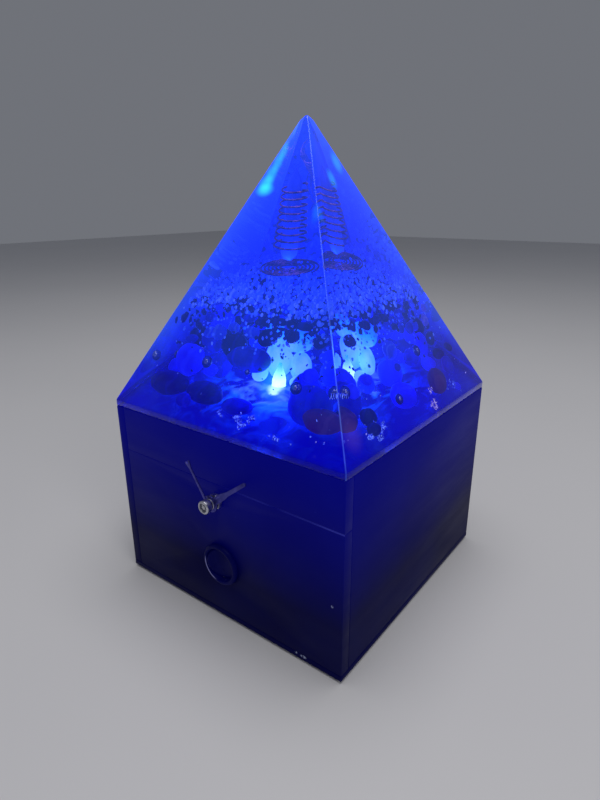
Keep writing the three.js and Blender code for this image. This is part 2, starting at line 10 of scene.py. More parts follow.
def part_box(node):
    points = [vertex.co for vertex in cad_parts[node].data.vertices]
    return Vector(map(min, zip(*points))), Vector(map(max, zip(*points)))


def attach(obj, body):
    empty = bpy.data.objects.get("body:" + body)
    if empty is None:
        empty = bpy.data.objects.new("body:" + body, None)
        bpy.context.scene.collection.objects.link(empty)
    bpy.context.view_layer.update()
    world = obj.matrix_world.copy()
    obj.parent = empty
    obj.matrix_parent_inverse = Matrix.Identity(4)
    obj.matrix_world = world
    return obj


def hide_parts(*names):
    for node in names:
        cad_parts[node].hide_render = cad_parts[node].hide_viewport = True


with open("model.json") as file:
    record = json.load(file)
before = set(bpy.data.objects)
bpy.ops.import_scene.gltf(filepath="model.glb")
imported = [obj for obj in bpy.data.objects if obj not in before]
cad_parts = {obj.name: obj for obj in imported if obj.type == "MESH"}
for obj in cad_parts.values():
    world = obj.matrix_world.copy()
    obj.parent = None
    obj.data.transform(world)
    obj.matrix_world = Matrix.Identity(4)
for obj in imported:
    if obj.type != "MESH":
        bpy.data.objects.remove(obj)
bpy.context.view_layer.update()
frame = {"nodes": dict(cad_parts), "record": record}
record = frame["record"]
bodyOf = {name: body for body, names in record["behaviour"]["bodies"].items() for name in names}
slotOf = {part["node"]: part["material_slot"] for part in record["subparts"]}
mm = 0.001
scene = bpy.context.scene

# places that everything in the resin is worked out from
skirtHeight = 3.4 * mm
resinLow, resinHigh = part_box("resin_base")
chipLow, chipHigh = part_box("chip_bed")
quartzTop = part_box("quartz_bed")[1].z
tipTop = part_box("resin_tip")[1].z
halfSide = resinHigh.x
skirtTop = resinLow.z + skirtHeight
slope = (halfSide - chipHigh.x) / (chipLow.z - skirtTop)  # how fast the faces lean in
lensLow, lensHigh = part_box("led_lens")
lampSpot = (lensLow + lensHigh) / 2
print("frame loaded")


def halfAt(z):
    return halfSide if z < skirtTop else halfSide - slope * (z - skirtTop)


# camera: angles in degrees, distance and aim in metres, lens and sensor in millimetres
camera = {
    "azimuth": 37.35, "elevation": 19.56, "roll": -0.3,
    "distance": 0.3225, "aim": (-0.00405, 0.10185), "lens": 25.18, "sensor": 36,
}


def addCamera():
    turn, rise = math.radians(camera["azimuth"]), math.radians(camera["elevation"])
    roll = math.radians(camera["roll"])
    back = Vector((math.sin(turn) * math.cos(rise), -math.cos(turn) * math.cos(rise), math.sin(rise)))
    right = Vector((math.cos(turn), math.sin(turn), 0))
    up = back.cross(right)
    across = right * math.cos(roll) + up * math.sin(roll)
    upward = up * math.cos(roll) - right * math.sin(roll)
    aside, height = camera["aim"]
    place = right * aside + Vector((0, 0, height)) + back * camera["distance"]
    lens = bpy.data.cameras.new("camera")
    lens.lens, lens.sensor_width = camera["lens"], camera["sensor"]
    lens.clip_start = 0.01
    eye = bpy.data.objects.new("camera", lens)
    eye.matrix_world = Matrix((across, upward, back)).transposed().to_4x4()
    eye.location = place
    scene.collection.objects.link(eye)
    scene.camera = eye


addCamera()


# small helpers for shader and geometry trees

def addNode(tree, kind, inputs=None, **settings):
    made = tree.nodes.new(kind)
    for name, value in settings.items():
        setattr(made, name, value)
    for name, value in (inputs or {}).items():
        put(tree, made.inputs[name], value)
    return made


def put(tree, socket, value):
    if isinstance(value, bpy.types.NodeSocket):
        tree.links.new(value, socket)
    else:
        socket.default_value = value


def math2(tree, operation, a, b=0.0, clamp=False):
    made = addNode(tree, "ShaderNodeMath", operation=operation, use_clamp=clamp)
    put(tree, made.inputs[0], a)
    put(tree, made.inputs[1], b)
    return made.outputs[0]


def ramp(tree, value, low, high, toLow=0.0, toHigh=1.0):
    made = addNode(tree, "ShaderNodeMapRange", {"Value": value, "From Min": low, "From Max": high,
                                                "To Min": toLow, "To Max": toHigh})
    return made.outputs["Result"]


def blendColours(tree, share, a, b, how="MIX"):
    made = addNode(tree, "ShaderNodeMix", data_type="RGBA", blend_type=how)
    put(tree, made.inputs[0], share)
    for socket, value in ((made.inputs[6], a), (made.inputs[7], b)):
        put(tree, socket, (*value, 1) if isinstance(value, tuple) else value)
    return made.outputs[2]


def objectPlace(tree, stretch=(1, 1, 1), offset=(0, 0, 0)):
    place = addNode(tree, "ShaderNodeTexCoord").outputs["Object"]
    moved = addNode(tree, "ShaderNodeMapping", {"Vector": place, "Scale": stretch, "Location": offset})
    return moved.outputs["Vector"]


def noiseAt(tree, place, scale, detail=3.0, roughness=0.55):
    made = addNode(tree, "ShaderNodeTexNoise", {"Vector": place, "Scale": scale, "Detail": detail,
                                                "Roughness": roughness})
    return made.outputs["Fac"]


def spot(tree, place, centre, size):
    # 1 at a place given in millimetres, fading to 0 at the ends of its three half sizes
    shift = addNode(tree, "ShaderNodeVectorMath", operation="SUBTRACT")
    put(tree, shift.inputs[0], place)
    shift.inputs[1].default_value = [v * mm for v in centre]
    scaled = addNode(tree, "ShaderNodeVectorMath", operation="DIVIDE")
    put(tree, scaled.inputs[0], shift.outputs[0])
    scaled.inputs[1].default_value = [v * mm for v in size]
    far = addNode(tree, "ShaderNodeVectorMath", operation="LENGTH")
    put(tree, far.inputs[0], scaled.outputs[0])
    made = addNode(tree, "ShaderNodeMapRange", {"Value": far.outputs["Value"], "From Min": 1.0,
                                                "From Max": 0.15}, interpolation_type="SMOOTHSTEP")
    return made.outputs["Result"]


def newGroup(name, inputs, outputs):
    tree = bpy.data.node_groups.new(name, "ShaderNodeTree")
    for label, kind, value in inputs:
        socket = tree.interface.new_socket(label, in_out="INPUT", socket_type=kind)
        socket.default_value = value
    for label, kind in outputs:
        tree.interface.new_socket(label, in_out="OUTPUT", socket_type=kind)
    return tree, tree.nodes.new("NodeGroupInput"), tree.nodes.new("NodeGroupOutput")


def useGroup(tree, group, **inputs):
    made = tree.nodes.new("ShaderNodeGroup")
    made.node_tree = group
    for name, value in inputs.items():
        put(tree, made.inputs[name], value)
    return made


# effects that several finishes share, each built once

number, vector = "NodeSocketFloat", "NodeSocketVector"


def edgeWearGroup():
    # where a corner has rubbed through: a rounded normal against the true one, broken up by noise
    tree, given, out = newGroup(
        "edge wear", [("Width", number, 0.0008), ("Amount", number, 0.5), ("Breakup", number, 400.0)],
        [("Mask", number)])
    soft = addNode(tree, "ShaderNodeBevel", {"Radius": given.outputs["Width"]}, samples=4)
    true = addNode(tree, "ShaderNodeNewGeometry")
    along = addNode(tree, "ShaderNodeVectorMath", operation="DOT_PRODUCT")
    put(tree, along.inputs[0], soft.outputs[0])
    put(tree, along.inputs[1], true.outputs["Normal"])
    bent = ramp(tree, along.outputs["Value"], 0.995, 0.9)
    patches = noiseAt(tree, objectPlace(tree), given.outputs["Breakup"], 4.0, 0.65)
    worn = ramp(tree, patches, 0.5, 0.62)
    put(tree, out.inputs["Mask"],
        math2(tree, "MULTIPLY", math2(tree, "MULTIPLY", bent, worn), given.outputs["Amount"], True))
    return tree


def grainGroup():
    # long soft streaks under a finish, plus fine tooth
    tree, given, out = newGroup(
        "grain", [("Stretch", vector, (1, 1, 8)), ("Scale", number, 60.0), ("Fine", number, 2500.0)],
        [("Streaks", number), ("Tooth", number), ("Height", number)])
    place = addNode(tree, "ShaderNodeTexCoord").outputs["Object"]
    drawn = addNode(tree, "ShaderNodeVectorMath", operation="DIVIDE")
    put(tree, drawn.inputs[0], place)
    put(tree, drawn.inputs[1], given.outputs["Stretch"])
    streaks = noiseAt(tree, drawn.outputs[0], given.outputs["Scale"], 5.0, 0.6)
    tooth = noiseAt(tree, place, given.outputs["Fine"], 2.0, 0.5)
    put(tree, out.inputs["Streaks"], streaks)
    put(tree, out.inputs["Tooth"], tooth)
    mixed = math2(tree, "ADD", math2(tree, "MULTIPLY", streaks, 0.7), math2(tree, "MULTIPLY", tooth, 0.3))
    put(tree, out.inputs["Height"], mixed)
    return tree


def specksGroup():
    # a thin scatter of dust and pinholes
    tree, given, out = newGroup(
        "specks", [("Scale", number, 500.0), ("Size", number, 0.12), ("Share", number, 0.2)],
        [("Mask", number)])
    place = objectPlace(tree)
    cells = addNode(tree, "ShaderNodeTexVoronoi", {"Vector": place, "Scale": given.outputs["Scale"]})
    dot = math2(tree, "LESS_THAN", cells.outputs["Distance"], given.outputs["Size"])
    chosen = addNode(tree, "ShaderNodeTexWhiteNoise", {"Vector": cells.outputs["Color"]})
    kept = math2(tree, "LESS_THAN", chosen.outputs["Value"], given.outputs["Share"])
    put(tree, out.inputs["Mask"], math2(tree, "MULTIPLY", dot, kept))
    return tree


def veinsGroup():
    # the banding of a tumbled stone: wandering veins over cloudy patches
    tree, given, out = newGroup(
        "stone veins", [("Scale", number, 120.0), ("Twist", number, 3.0)],
        [("Clouds", number), ("Veins", number)])
    place = objectPlace(tree)
    clouds = noiseAt(tree, place, given.outputs["Scale"], 6.0, 0.6)
    bands = addNode(tree, "ShaderNodeTexWave", {
        "Vector": place, "Scale": math2(tree, "MULTIPLY", given.outputs["Scale"], 0.35),
        "Distortion": math2(tree, "MULTIPLY", given.outputs["Twist"], 4.0), "Detail": 4.0,
        "Detail Scale": 1.5})
    put(tree, out.inputs["Clouds"], clouds)
    put(tree, out.inputs["Veins"], ramp(tree, bands.outputs["Fac"], 0.82, 0.97))
    return tree


def lampGlowGroup():
    # lamp light on what lies in the resin: white and cyan close to the lamp, deep blue far away
    tree, given, out = newGroup(
        "lamp glow", [("Near", number, 0.008), ("Far", number, 0.06)],
        [("Colour", "NodeSocketColor"), ("Share", number)])
    place = objectPlace(tree, (1, 1, 0.8))
    gap = addNode(tree, "ShaderNodeVectorMath", operation="DISTANCE")
    put(tree, gap.inputs[0], place)
    gap.inputs[1].default_value = (lampSpot.x, lampSpot.y, lampSpot.z * 0.8)
    far = addNode(tree, "ShaderNodeMapRange", {
        "Value": gap.outputs["Value"], "From Min": given.outputs["Near"],
        "From Max": given.outputs["Far"]}, interpolation_type="SMOOTHERSTEP")
    cloud = noiseAt(tree, place, 130.0, 3.0)
    share = math2(tree, "ADD", far.outputs["Result"], ramp(tree, cloud, 0.3, 0.7, -0.06, 0.06), True)
    hues = addNode(tree, "ShaderNodeValToRGB", {"Fac": share})
    hues.color_ramp.elements[0].color = (0.45, 0.95, 1.0, 1)
    hues.color_ramp.elements[1].color = (0.0, 0.004, 0.16, 1)
    for at, colour in ((0.16, (0.03, 0.5, 1.0, 1)), (0.36, (0.008, 0.13, 0.9, 1)),
                       (0.62, (0.002, 0.03, 0.6, 1))):
        hues.color_ramp.elements.new(at).color = colour
    put(tree, out.inputs["Colour"], hues.outputs["Color"])
    put(tree, out.inputs["Share"], math2(tree, "SUBTRACT", 1.0, share))
    return tree


edgeWear, grain, specks, stoneVeins = edgeWearGroup(), grainGroup(), specksGroup(), veinsGroup()
lampGlow = lampGlowGroup()


# materials

def newMaterial(name, **inputs):
    made = bpy.data.materials.new(name)
    made.use_nodes = True
    shader = made.node_tree.nodes["Principled BSDF"]
    for label, value in inputs.items():
        put(made.node_tree, shader.inputs[label.replace("_", " ")], value)
    return made, made.node_tree, shader


def addBump(tree, shader, height, strength, distance=0.0004):
    bump = addNode(tree, "ShaderNodeBump", {"Height": height, "Strength": strength, "Distance": distance})
    tree.links.new(bump.outputs["Normal"], shader.inputs["Normal"])


navyPaint = {
    "deep": (0.0008, 0.0008, 0.035), "shallow": (0.0022, 0.003, 0.06), "worn": (0.01, 0.012, 0.13),
    "dust": (0.04, 0.05, 0.2), "roughLow": 0.4, "roughHigh": 0.6, "wear": 0.15, "shine": 0.05,
    "paintedGlow": (0.0, 0.0003, 0.15), "paintedGlowDepth": 0.075, "chip": (0.3, 0.34, 0.5), "seam": (0.06, 0.07, 0.34),
}
# small knocks in the paint: place and half sizes in millimetres
paintChips = [((53.4, -75.0, 3.6), (2.4, 2.0, 0.9)), ((69.4, -75.0, 41.0), (0.8, 1.0, 0.9)),
              ((48.9, -75.0, 3.8), (0.9, 1.5, 0.8)), ((-70.0, 75.0, 14.0), (0.9, 1.0, 1.6))]


def seamHighlight(tree, parts, clouds):
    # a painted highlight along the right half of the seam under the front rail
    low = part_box("front_rail")[0]
    above = math2(tree, "ABSOLUTE", math2(tree, "SUBTRACT", parts["Z"], low.z))
    line = ramp(tree, above, 0.5 * mm, 0.2 * mm)
    line = math2(tree, "MULTIPLY", line, ramp(tree, parts["X"], 0.0, 50 * mm))
    line = math2(tree, "MULTIPLY", line, ramp(tree, parts["Y"], low.y + 0.5 * mm, low.y + 0.1 * mm))
    return math2(tree, "MULTIPLY", line, ramp(tree, clouds, 0.3, 0.5), True)


def makeNavyPaint():
    made, tree, shader = newMaterial("navyPaint", Specular_IOR_Level=navyPaint["shine"])
    streak = useGroup(tree, grain, Stretch=(7, 7, 1), Scale=55.0, Fine=2600.0)
    rubbed = useGroup(tree, edgeWear, Width=0.0009, Amount=navyPaint["wear"], Breakup=320.0)
    dusty = useGroup(tree, specks, Scale=420.0, Size=0.1, Share=0.05)
    place = objectPlace(tree)
    clouds = noiseAt(tree, place, 22.0, 3.0)
    colour = blendColours(tree, ramp(tree, clouds, 0.35, 0.7), navyPaint["deep"], navyPaint["shallow"])
    streaky = math2(tree, "MULTIPLY", ramp(tree, streak.outputs["Streaks"], 0.5, 0.75), 0.4)
    colour = blendColours(tree, streaky, colour, navyPaint["shallow"])
    dust = math2(tree, "MULTIPLY", dusty.outputs["Mask"], 0.5)
    colour = blendColours(tree, dust, colour, navyPaint["dust"])
    colour = blendColours(tree, rubbed.outputs["Mask"], colour, navyPaint["worn"])
    ragged = ramp(tree, noiseAt(tree, place, 1500.0, 3.0), 0.42, 0.5)
    for centre, size in paintChips:
        knocked = ramp(tree, spot(tree, place, centre, size), 0.1, 0.3)
        bare = math2(tree, "MULTIPLY", knocked, ragged, True)
        colour = blendColours(tree, bare, colour, navyPaint["chip"])
    parts = addNode(tree, "ShaderNodeSeparateXYZ", {"Vector": place}).outputs
    # painted highlight along the seam under the front rail
    colour = blendColours(tree, seamHighlight(tree, parts, clouds), colour, navyPaint["seam"])
    put(tree, shader.inputs["Base Color"], colour)
    put(tree, shader.inputs["Roughness"],
        ramp(tree, streak.outputs["Streaks"], 0.3, 0.7, navyPaint["roughLow"], navyPaint["roughHigh"]))
    # painted glow standing for the lamp's blue light on the box, strongest at its top
    put(tree, shader.inputs["Emission Color"], (*navyPaint["paintedGlow"], 1))
    put(tree, shader.inputs["Emission Strength"],
        ramp(tree, parts["Z"], resinLow.z - navyPaint["paintedGlowDepth"], resinLow.z + 0.01, 0.04, 1.0))
    addBump(tree, shader, streak.outputs["Height"], 0.35, 0.0002)
    return made


def makeBareWood():
    made, tree, shader = newMaterial("bareWood")
    streak = useGroup(tree, grain, Stretch=(9, 1, 9), Scale=260.0, Fine=3000.0)
    colour = blendColours(tree, ramp(tree, streak.outputs["Streaks"], 0.35, 0.7),
                          (0.5, 0.33, 0.18), (0.3, 0.18, 0.09))
    put(tree, shader.inputs["Base Color"], colour)
    put(tree, shader.inputs["Roughness"], ramp(tree, streak.outputs["Tooth"], 0.3, 0.7, 0.6, 0.85))
    addBump(tree, shader, streak.outputs["Height"], 0.5, 0.0003)
    return made


def makeFelt():
    made, tree, shader = newMaterial("blackFelt", Sheen_Weight=0.4, Sheen_Roughness=0.6)
    fuzz = useGroup(tree, grain, Stretch=(1, 1, 1), Scale=1400.0, Fine=5200.0)
    colour = blendColours(tree, fuzz.outputs["Tooth"], (0.006, 0.006, 0.01), (0.03, 0.03, 0.045))
    put(tree, shader.inputs["Base Color"], colour)
    put(tree, shader.inputs["Roughness"], ramp(tree, fuzz.outputs["Streaks"], 0.2, 0.8, 0.85, 1.0))
    addBump(tree, shader, fuzz.outputs["Height"], 0.9, 0.0006)
    return made


# colour, tarnish colour, roughness from and to, streak stretch
metals = {
    "platedSteel": ((0.66, 0.67, 0.72), (0.4, 0.4, 0.46), 0.22, 0.42, (1, 1, 5)),
    "dimSteel": ((0.09, 0.09, 0.42), (0.04, 0.04, 0.26), 0.32, 0.52, (6, 1, 1)),
    "warmBrass": ((0.72, 0.5, 0.2), (0.32, 0.2, 0.08), 0.22, 0.48, (1, 1, 6)),
    "copperWire": ((0.85, 0.26, 0.3), (0.12, 0.01, 0.08), 0.2, 0.36, (3, 3, 1)),
    "satinAluminium": ((0.72, 0.72, 0.82), (0.45, 0.45, 0.6), 0.24, 0.42, (6, 1, 1)),
    "hematite": ((0.22, 0.22, 0.3), (0.1, 0.1, 0.16), 0.08, 0.2, (1, 1, 1)),
}


def makeMetal(name):
    bright, dull, low, high, stretch = metals[name]
    made, tree, shader = newMaterial(name, Metallic=1.0)
    streak = useGroup(tree, grain, Stretch=stretch, Scale=700.0, Fine=6000.0)
    rubbed = useGroup(tree, edgeWear, Width=0.0004, Amount=0.7, Breakup=900.0)
    stain = noiseAt(tree, objectPlace(tree), 240.0, 4.0, 0.6)
    colour = blendColours(tree, ramp(tree, stain, 0.42, 0.72), bright, dull)
    colour = blendColours(tree, rubbed.outputs["Mask"], colour, bright)
    put(tree, shader.inputs["Base Color"], colour)
    put(tree, shader.inputs["Roughness"], ramp(tree, streak.outputs["Streaks"], 0.3, 0.7, low, high))
    addBump(tree, shader, streak.outputs["Height"], 0.18, 0.0001)
    return made


# colour, roughness from and to, bump, shine
plastics = {
    "blackPlastic": ((0.004, 0.004, 0.008), 0.16, 0.3, 0.06, 0.4),
    "switchPlastic": ((0.0004, 0.0006, 0.035), 0.25, 0.38, 0.05, 0.04),
    "paleCasePlastic": ((0.74, 0.74, 0.7), 0.35, 0.5, 0.15, 0.5),
    "cellSleeve": ((0.05, 0.055, 0.09), 0.18, 0.32, 0.05, 0.5),
}


# a painted highlight along the lower left of the bezel's inner lip, and a faint painted glow of lamp light
# over the whole switch
lipHighlight = {"radius": 9.75, "width": 0.35, "colour": (0.3, 0.3, 0.6), "glow": (0.0, 0.0002, 0.016)}


def addLipHighlight(tree, shader, colour):
    low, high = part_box("switch_body")
    centre = [(a + b) / 2 / mm for a, b in zip(low, high)]
    place = objectPlace(tree)
    away = addNode(tree, "ShaderNodeVectorMath", operation="DISTANCE")
    put(tree, away.inputs[0], objectPlace(tree, (1, 0, 1)))
    away.inputs[1].default_value = (centre[0] * mm, 0, centre[2] * mm)
    gap = math2(tree, "ABSOLUTE", math2(tree, "SUBTRACT", away.outputs["Value"], lipHighlight["radius"] * mm))
    # painted highlight: a pale line on the inner lip, kept to its lower left
    line = ramp(tree, gap, lipHighlight["width"] * mm, 0.3 * lipHighlight["width"] * mm)
    corner = (centre[0] - 8.0, low.y / mm, centre[2] - 5.0)
    near = ramp(tree, spot(tree, place, corner, (9.0, 6.0, 9.0)), 0.1, 0.5)
    # painted glow of lamp light over the whole switch
    put(tree, shader.inputs["Emission Color"], (*lipHighlight["glow"], 1))
    shader.inputs["Emission Strength"].default_value = 1.0
    return blendColours(tree, math2(tree, "MULTIPLY", line, near, True), colour, lipHighlight["colour"])


def makePlastic(name):
    base, low, high, strength, shine = plastics[name]
    made, tree, shader = newMaterial(name, Specular_IOR_Level=shine)
    skin = useGroup(tree, grain, Stretch=(1, 1, 1), Scale=180.0, Fine=4200.0)
    dusty = useGroup(tree, specks, Scale=900.0, Size=0.16, Share=0.1)
    rubbed = useGroup(tree, edgeWear, Width=0.0004, Amount=0.35, Breakup=900.0)
    lifted = tuple(min(1, c * 1.6 + 0.002) for c in base)
    colour = blendColours(tree, ramp(tree, skin.outputs["Streaks"], 0.35, 0.75), base, lifted)
    marks = math2(tree, "ADD", math2(tree, "MULTIPLY", dusty.outputs["Mask"], 0.25),
                  rubbed.outputs["Mask"], True)
    colour = blendColours(tree, marks, colour, tuple(min(1, c * 2.5 + 0.02) for c in base))
    if name == "switchPlastic":
        colour = addLipHighlight(tree, shader, colour)
    put(tree, shader.inputs["Base Color"], colour)
    put(tree, shader.inputs["Roughness"], ramp(tree, skin.outputs["Streaks"], 0.3, 0.7, low, high))
    addBump(tree, shader, skin.outputs["Height"], strength, 0.0002)
    return made


def makeBoard():
    made, tree, shader = newMaterial("circuitBoard")
    place = objectPlace(tree)
    tracks = addNode(tree, "ShaderNodeTexBrick", {"Vector": place, "Scale": 260.0, "Mortar Size": 0.03,
                                                  "Color1": (0.02, 0.13, 0.06, 1),
                                                  "Color2": (0.03, 0.17, 0.08, 1),
                                                  "Mortar": (0.1, 0.33, 0.14, 1)})
    put(tree, shader.inputs["Base Color"], tracks.outputs["Color"])
    put(tree, shader.inputs["Roughness"], ramp(tree, noiseAt(tree, place, 500.0), 0.3, 0.7, 0.25, 0.45))
    addBump(tree, shader, tracks.outputs["Fac"], 0.2, 0.0001)
    return made


# dark, light, vein, roughness, vein scale, share of lamp glow, own glow, brightness
stones = {
    "blueStone": ((0.002, 0.001, 0.6), (0.004, 0.003, 0.9), (0.01, 0.02, 1.0),
        0.3, 60.0, 0.12, 0.7, 1.0),
    "deepStone": ((0.0005, 0.0002, 0.3), (0.0015, 0.001, 0.55), (0.006, 0.008, 0.8),
        0.3, 80.0, 0.08, 0.4, 1.0),
    "darkStone": ((0.0004, 0.0002, 0.05), (0.0008, 0.0006, 0.16), (0.004, 0.005, 0.4),
        0.3, 110.0, 0.04, 0.1, 1.0),
    "shadowStone": ((0.0004, 0.0002, 0.1), (0.0008, 0.0005, 0.26), (0.002, 0.003, 0.4),
        0.3, 90.0, 0.05, 0.2, 1.0),
    "amberStone": ((0.03, 0.006, 0.1), (0.2, 0.04, 0.14), (0.3, 0.1, 0.2),
        0.3, 60.0, 0.03, 0.1, 1.0),
    "clearPebble": ((0.005, 0.02, 0.6), (0.015, 0.05, 0.9), (0.1, 0.25, 1.0),
        0.2, 150.0, 0.4, 0.2, 1.0),
    "lavenderStone": ((0.05, 0.04, 0.55), (0.14, 0.12, 0.9), (0.3, 0.28, 1.0),
        0.3, 200.0, 0.1, 0.25, 1.0),
    "quartzChip": ((0.02, 0.06, 0.6), (0.08, 0.2, 0.95), (0.3, 0.5, 1.0),
        0.2, 170.0, 0.5, 0.35, 1.0),
    "darkChip": ((0.0005, 0.0005, 0.06), (0.002, 0.002, 0.2), (0.02, 0.03, 0.5),
        0.2, 210.0, 0.1, 0.04, 1.0),
    "milkyQuartz": ((0.02, 0.12, 0.7), (0.05, 0.3, 0.9), (0.1, 0.5, 1.0),
        0.35, 120.0, 1.0, 0.15, 2.4),
}
# how far into the filling lamp light carries, in millimetres
lampReach = {"usual": 62.0, "quartzChip": 88.0}


def makeStone(name):
    dark, light, vein, rough, scale, lit, glow, bright = stones[name]
    # the resin wets the stones, so they hardly shine
    made, tree, shader = newMaterial(name, Specular_IOR_Level=0.1)
    marks = useGroup(tree, stoneVeins, Scale=scale, Twist=1.5)
    lamp = useGroup(tree, lampGlow, Near=0.008, Far=lampReach.get(name, lampReach["usual"]) * mm)
    colour = blendColours(tree, ramp(tree, marks.outputs["Clouds"], 0.32, 0.68), dark, light)
    colour = blendColours(tree, math2(tree, "MULTIPLY", marks.outputs["Veins"], 0.4), colour, vein)
    put(tree, shader.inputs["Base Color"], colour)
    put(tree, shader.inputs["Roughness"],
        ramp(tree, marks.outputs["Clouds"], 0.3, 0.7, rough, rough + 0.18))
    # lamp light that the stone lets through
    own = blendColours(tree, glow, (0.0, 0.0, 0.0), colour)
    put(tree, shader.inputs["Emission Color"],
        blendColours(tree, lit, own, lamp.outputs["Colour"], "ADD"))
    shader.inputs["Emission Strength"].default_value = bright
    addBump(tree, shader, marks.outputs["Clouds"], 0.25, 0.0006)
    return made


def makeFoil(name, bright, dull):
    made, tree, shader = newMaterial(name, Metallic=1.0)
    crease = noiseAt(tree, objectPlace(tree), 900.0, 4.0, 0.6)
    put(tree, shader.inputs["Base Color"], blendColours(tree, crease, bright, dull))
    put(tree, shader.inputs["Roughness"], ramp(tree, crease, 0.3, 0.7, 0.12, 0.35))
    # painted sparkle: patches picked by the crease noise glow as if catching the lamp
    put(tree, shader.inputs["Emission Color"], blendColours(tree, ramp(tree, crease, 0.5, 0.62),
                                                            (0.0, 0.0, 0.05), bright))
    shader.inputs["Emission Strength"].default_value = 0.7
    addBump(tree, shader, crease, 0.8, 0.0006)
    return made


def makeCrystal():
    made, tree, shader = newMaterial("rockCrystal", Specular_IOR_Level=0.2)
    place = objectPlace(tree, (1, 1, 0.4))
    cloud = noiseAt(tree, place, 150.0, 5.0, 0.6)
    height = addNode(tree, "ShaderNodeSeparateXYZ", {"Vector": objectPlace(tree)}).outputs["Z"]
    foot = ramp(tree, height, quartzTop + 0.018, quartzTop + 0.008)
    colour = blendColours(tree, ramp(tree, cloud, 0.35, 0.7), (0.008, 0.03, 0.62), (0.025, 0.07, 0.9))
    colour = blendColours(tree, foot, colour, (0.06, 0.2, 1.0))
    put(tree, shader.inputs["Base Color"], colour)
    put(tree, shader.inputs["Roughness"], ramp(tree, cloud, 0.3, 0.7, 0.08, 0.25))
    # painted glow: the crystal's own colour, paler at its foot, also shines as light
    put(tree, shader.inputs["Emission Color"], colour)
    shader.inputs["Emission Strength"].default_value = 0.62
    addBump(tree, shader, cloud, 0.2, 0.0004)
    return made


def makeLens():
    # white at the lamp, cyan towards the top of the painted glow cone
    made, tree, shader = newMaterial("lampLens", Roughness=0.15)
    speck = noiseAt(tree, objectPlace(tree), 600.0, 2.0)
    height = addNode(tree, "ShaderNodeSeparateXYZ", {"Vector": objectPlace(tree)}).outputs["Z"]
    up = ramp(tree, height, resinLow.z + 0.0035, resinLow.z + 0.013)
    hot = blendColours(tree, speck, (0.55, 0.95, 1.0), (0.9, 1.0, 1.0))
    put(tree, shader.inputs["Base Color"], blendColours(tree, speck, (0.7, 0.9, 1.0), (1.0, 1.0, 1.0)))
    put(tree, shader.inputs["Emission Color"], blendColours(tree, up, hot, (0.03, 0.55, 0.9)))
    put(tree, shader.inputs["Emission Strength"], ramp(tree, up, 0.0, 1.0, 9.0, 1.6))
    return made


resinLook = {
    "tint": (0.8, 0.86, 1.0), "low": (0.0004, 0.0001, 0.13), "high": (0.008, 0.026, 0.22),
    "farLow": (0.0006, 0.0003, 0.15), "farHigh": (0.018, 0.06, 0.42), "mirror": (0.2, 0.22, 0.5),
    "edge": (0.04, 0.08, 0.3), "glint": (0.02, 0.6, 0.7), "pinkGlint": (0.05, 0.025, 0.04),
    "absorb": (0.04, 0.18, 0.97), "density": 30.0, "shine": 0.07, "skirt": (0.0004, 0.0004, 0.05),
    "skirtTint": (0.3, 0.34, 0.7),
}
# where light gathers under the surface: place and half sizes in millimetres, strength, colour
glints = [
    ((-11.8, -19.0, 215.2), (7.0, 5.0, 4.4), 0.8, "glint"),
    ((-12.0, -17.6, 218.2), (5.8, 5.0, 6.0), 0.64, "glint"),
    ((-10.4, -15.4, 222.4), (4.6, 5.0, 7.5), 0.5, "glint"),
    ((-8.4, -12.4, 227.6), (3.8, 4.6, 9.0), 0.42, "glint"),
    ((-6.6, -9.8, 233.0), (3.2, 4.0, 9.0), 0.36, "glint"),
    ((12.5, 8.0, 228.0), (4.0, 5.0, 15.0), 0.3, "glint"),
    ((16.5, -2.0, 219.5), (3.6, 4.0, 11.0), 0.3, "glint"),
    ((24.0, -24.0, 205.0), (4.0, 4.0, 18.0), 0.12, "glint"),
    ((27.5, -61.0, 134.5), (12.0, 11.0, 14.0), 0.33, "glint"),
    ((57.0, -36.0, 142.5), (9.0, 9.0, 7.0), 0.3, "glint"),
    # painted pinkish light on the right face
    ((69.0, -62.5, 118.0), (6.0, 9.0, 13.0), 0.5, "pinkGlint"),
    ((65.0, 30.0, 124.0), (8.0, 16.0, 16.0), 0.12, "pinkGlint"),
]


def onSkirt(tree, place):
    # 1 on the upright skirt of the casting, 0 on its leaning faces
    height = addNode(tree, "ShaderNodeSeparateXYZ", {"Vector": place}).outputs["Z"]
    return ramp(tree, height, skirtTop + 0.4 * mm, skirtTop - 0.4 * mm)


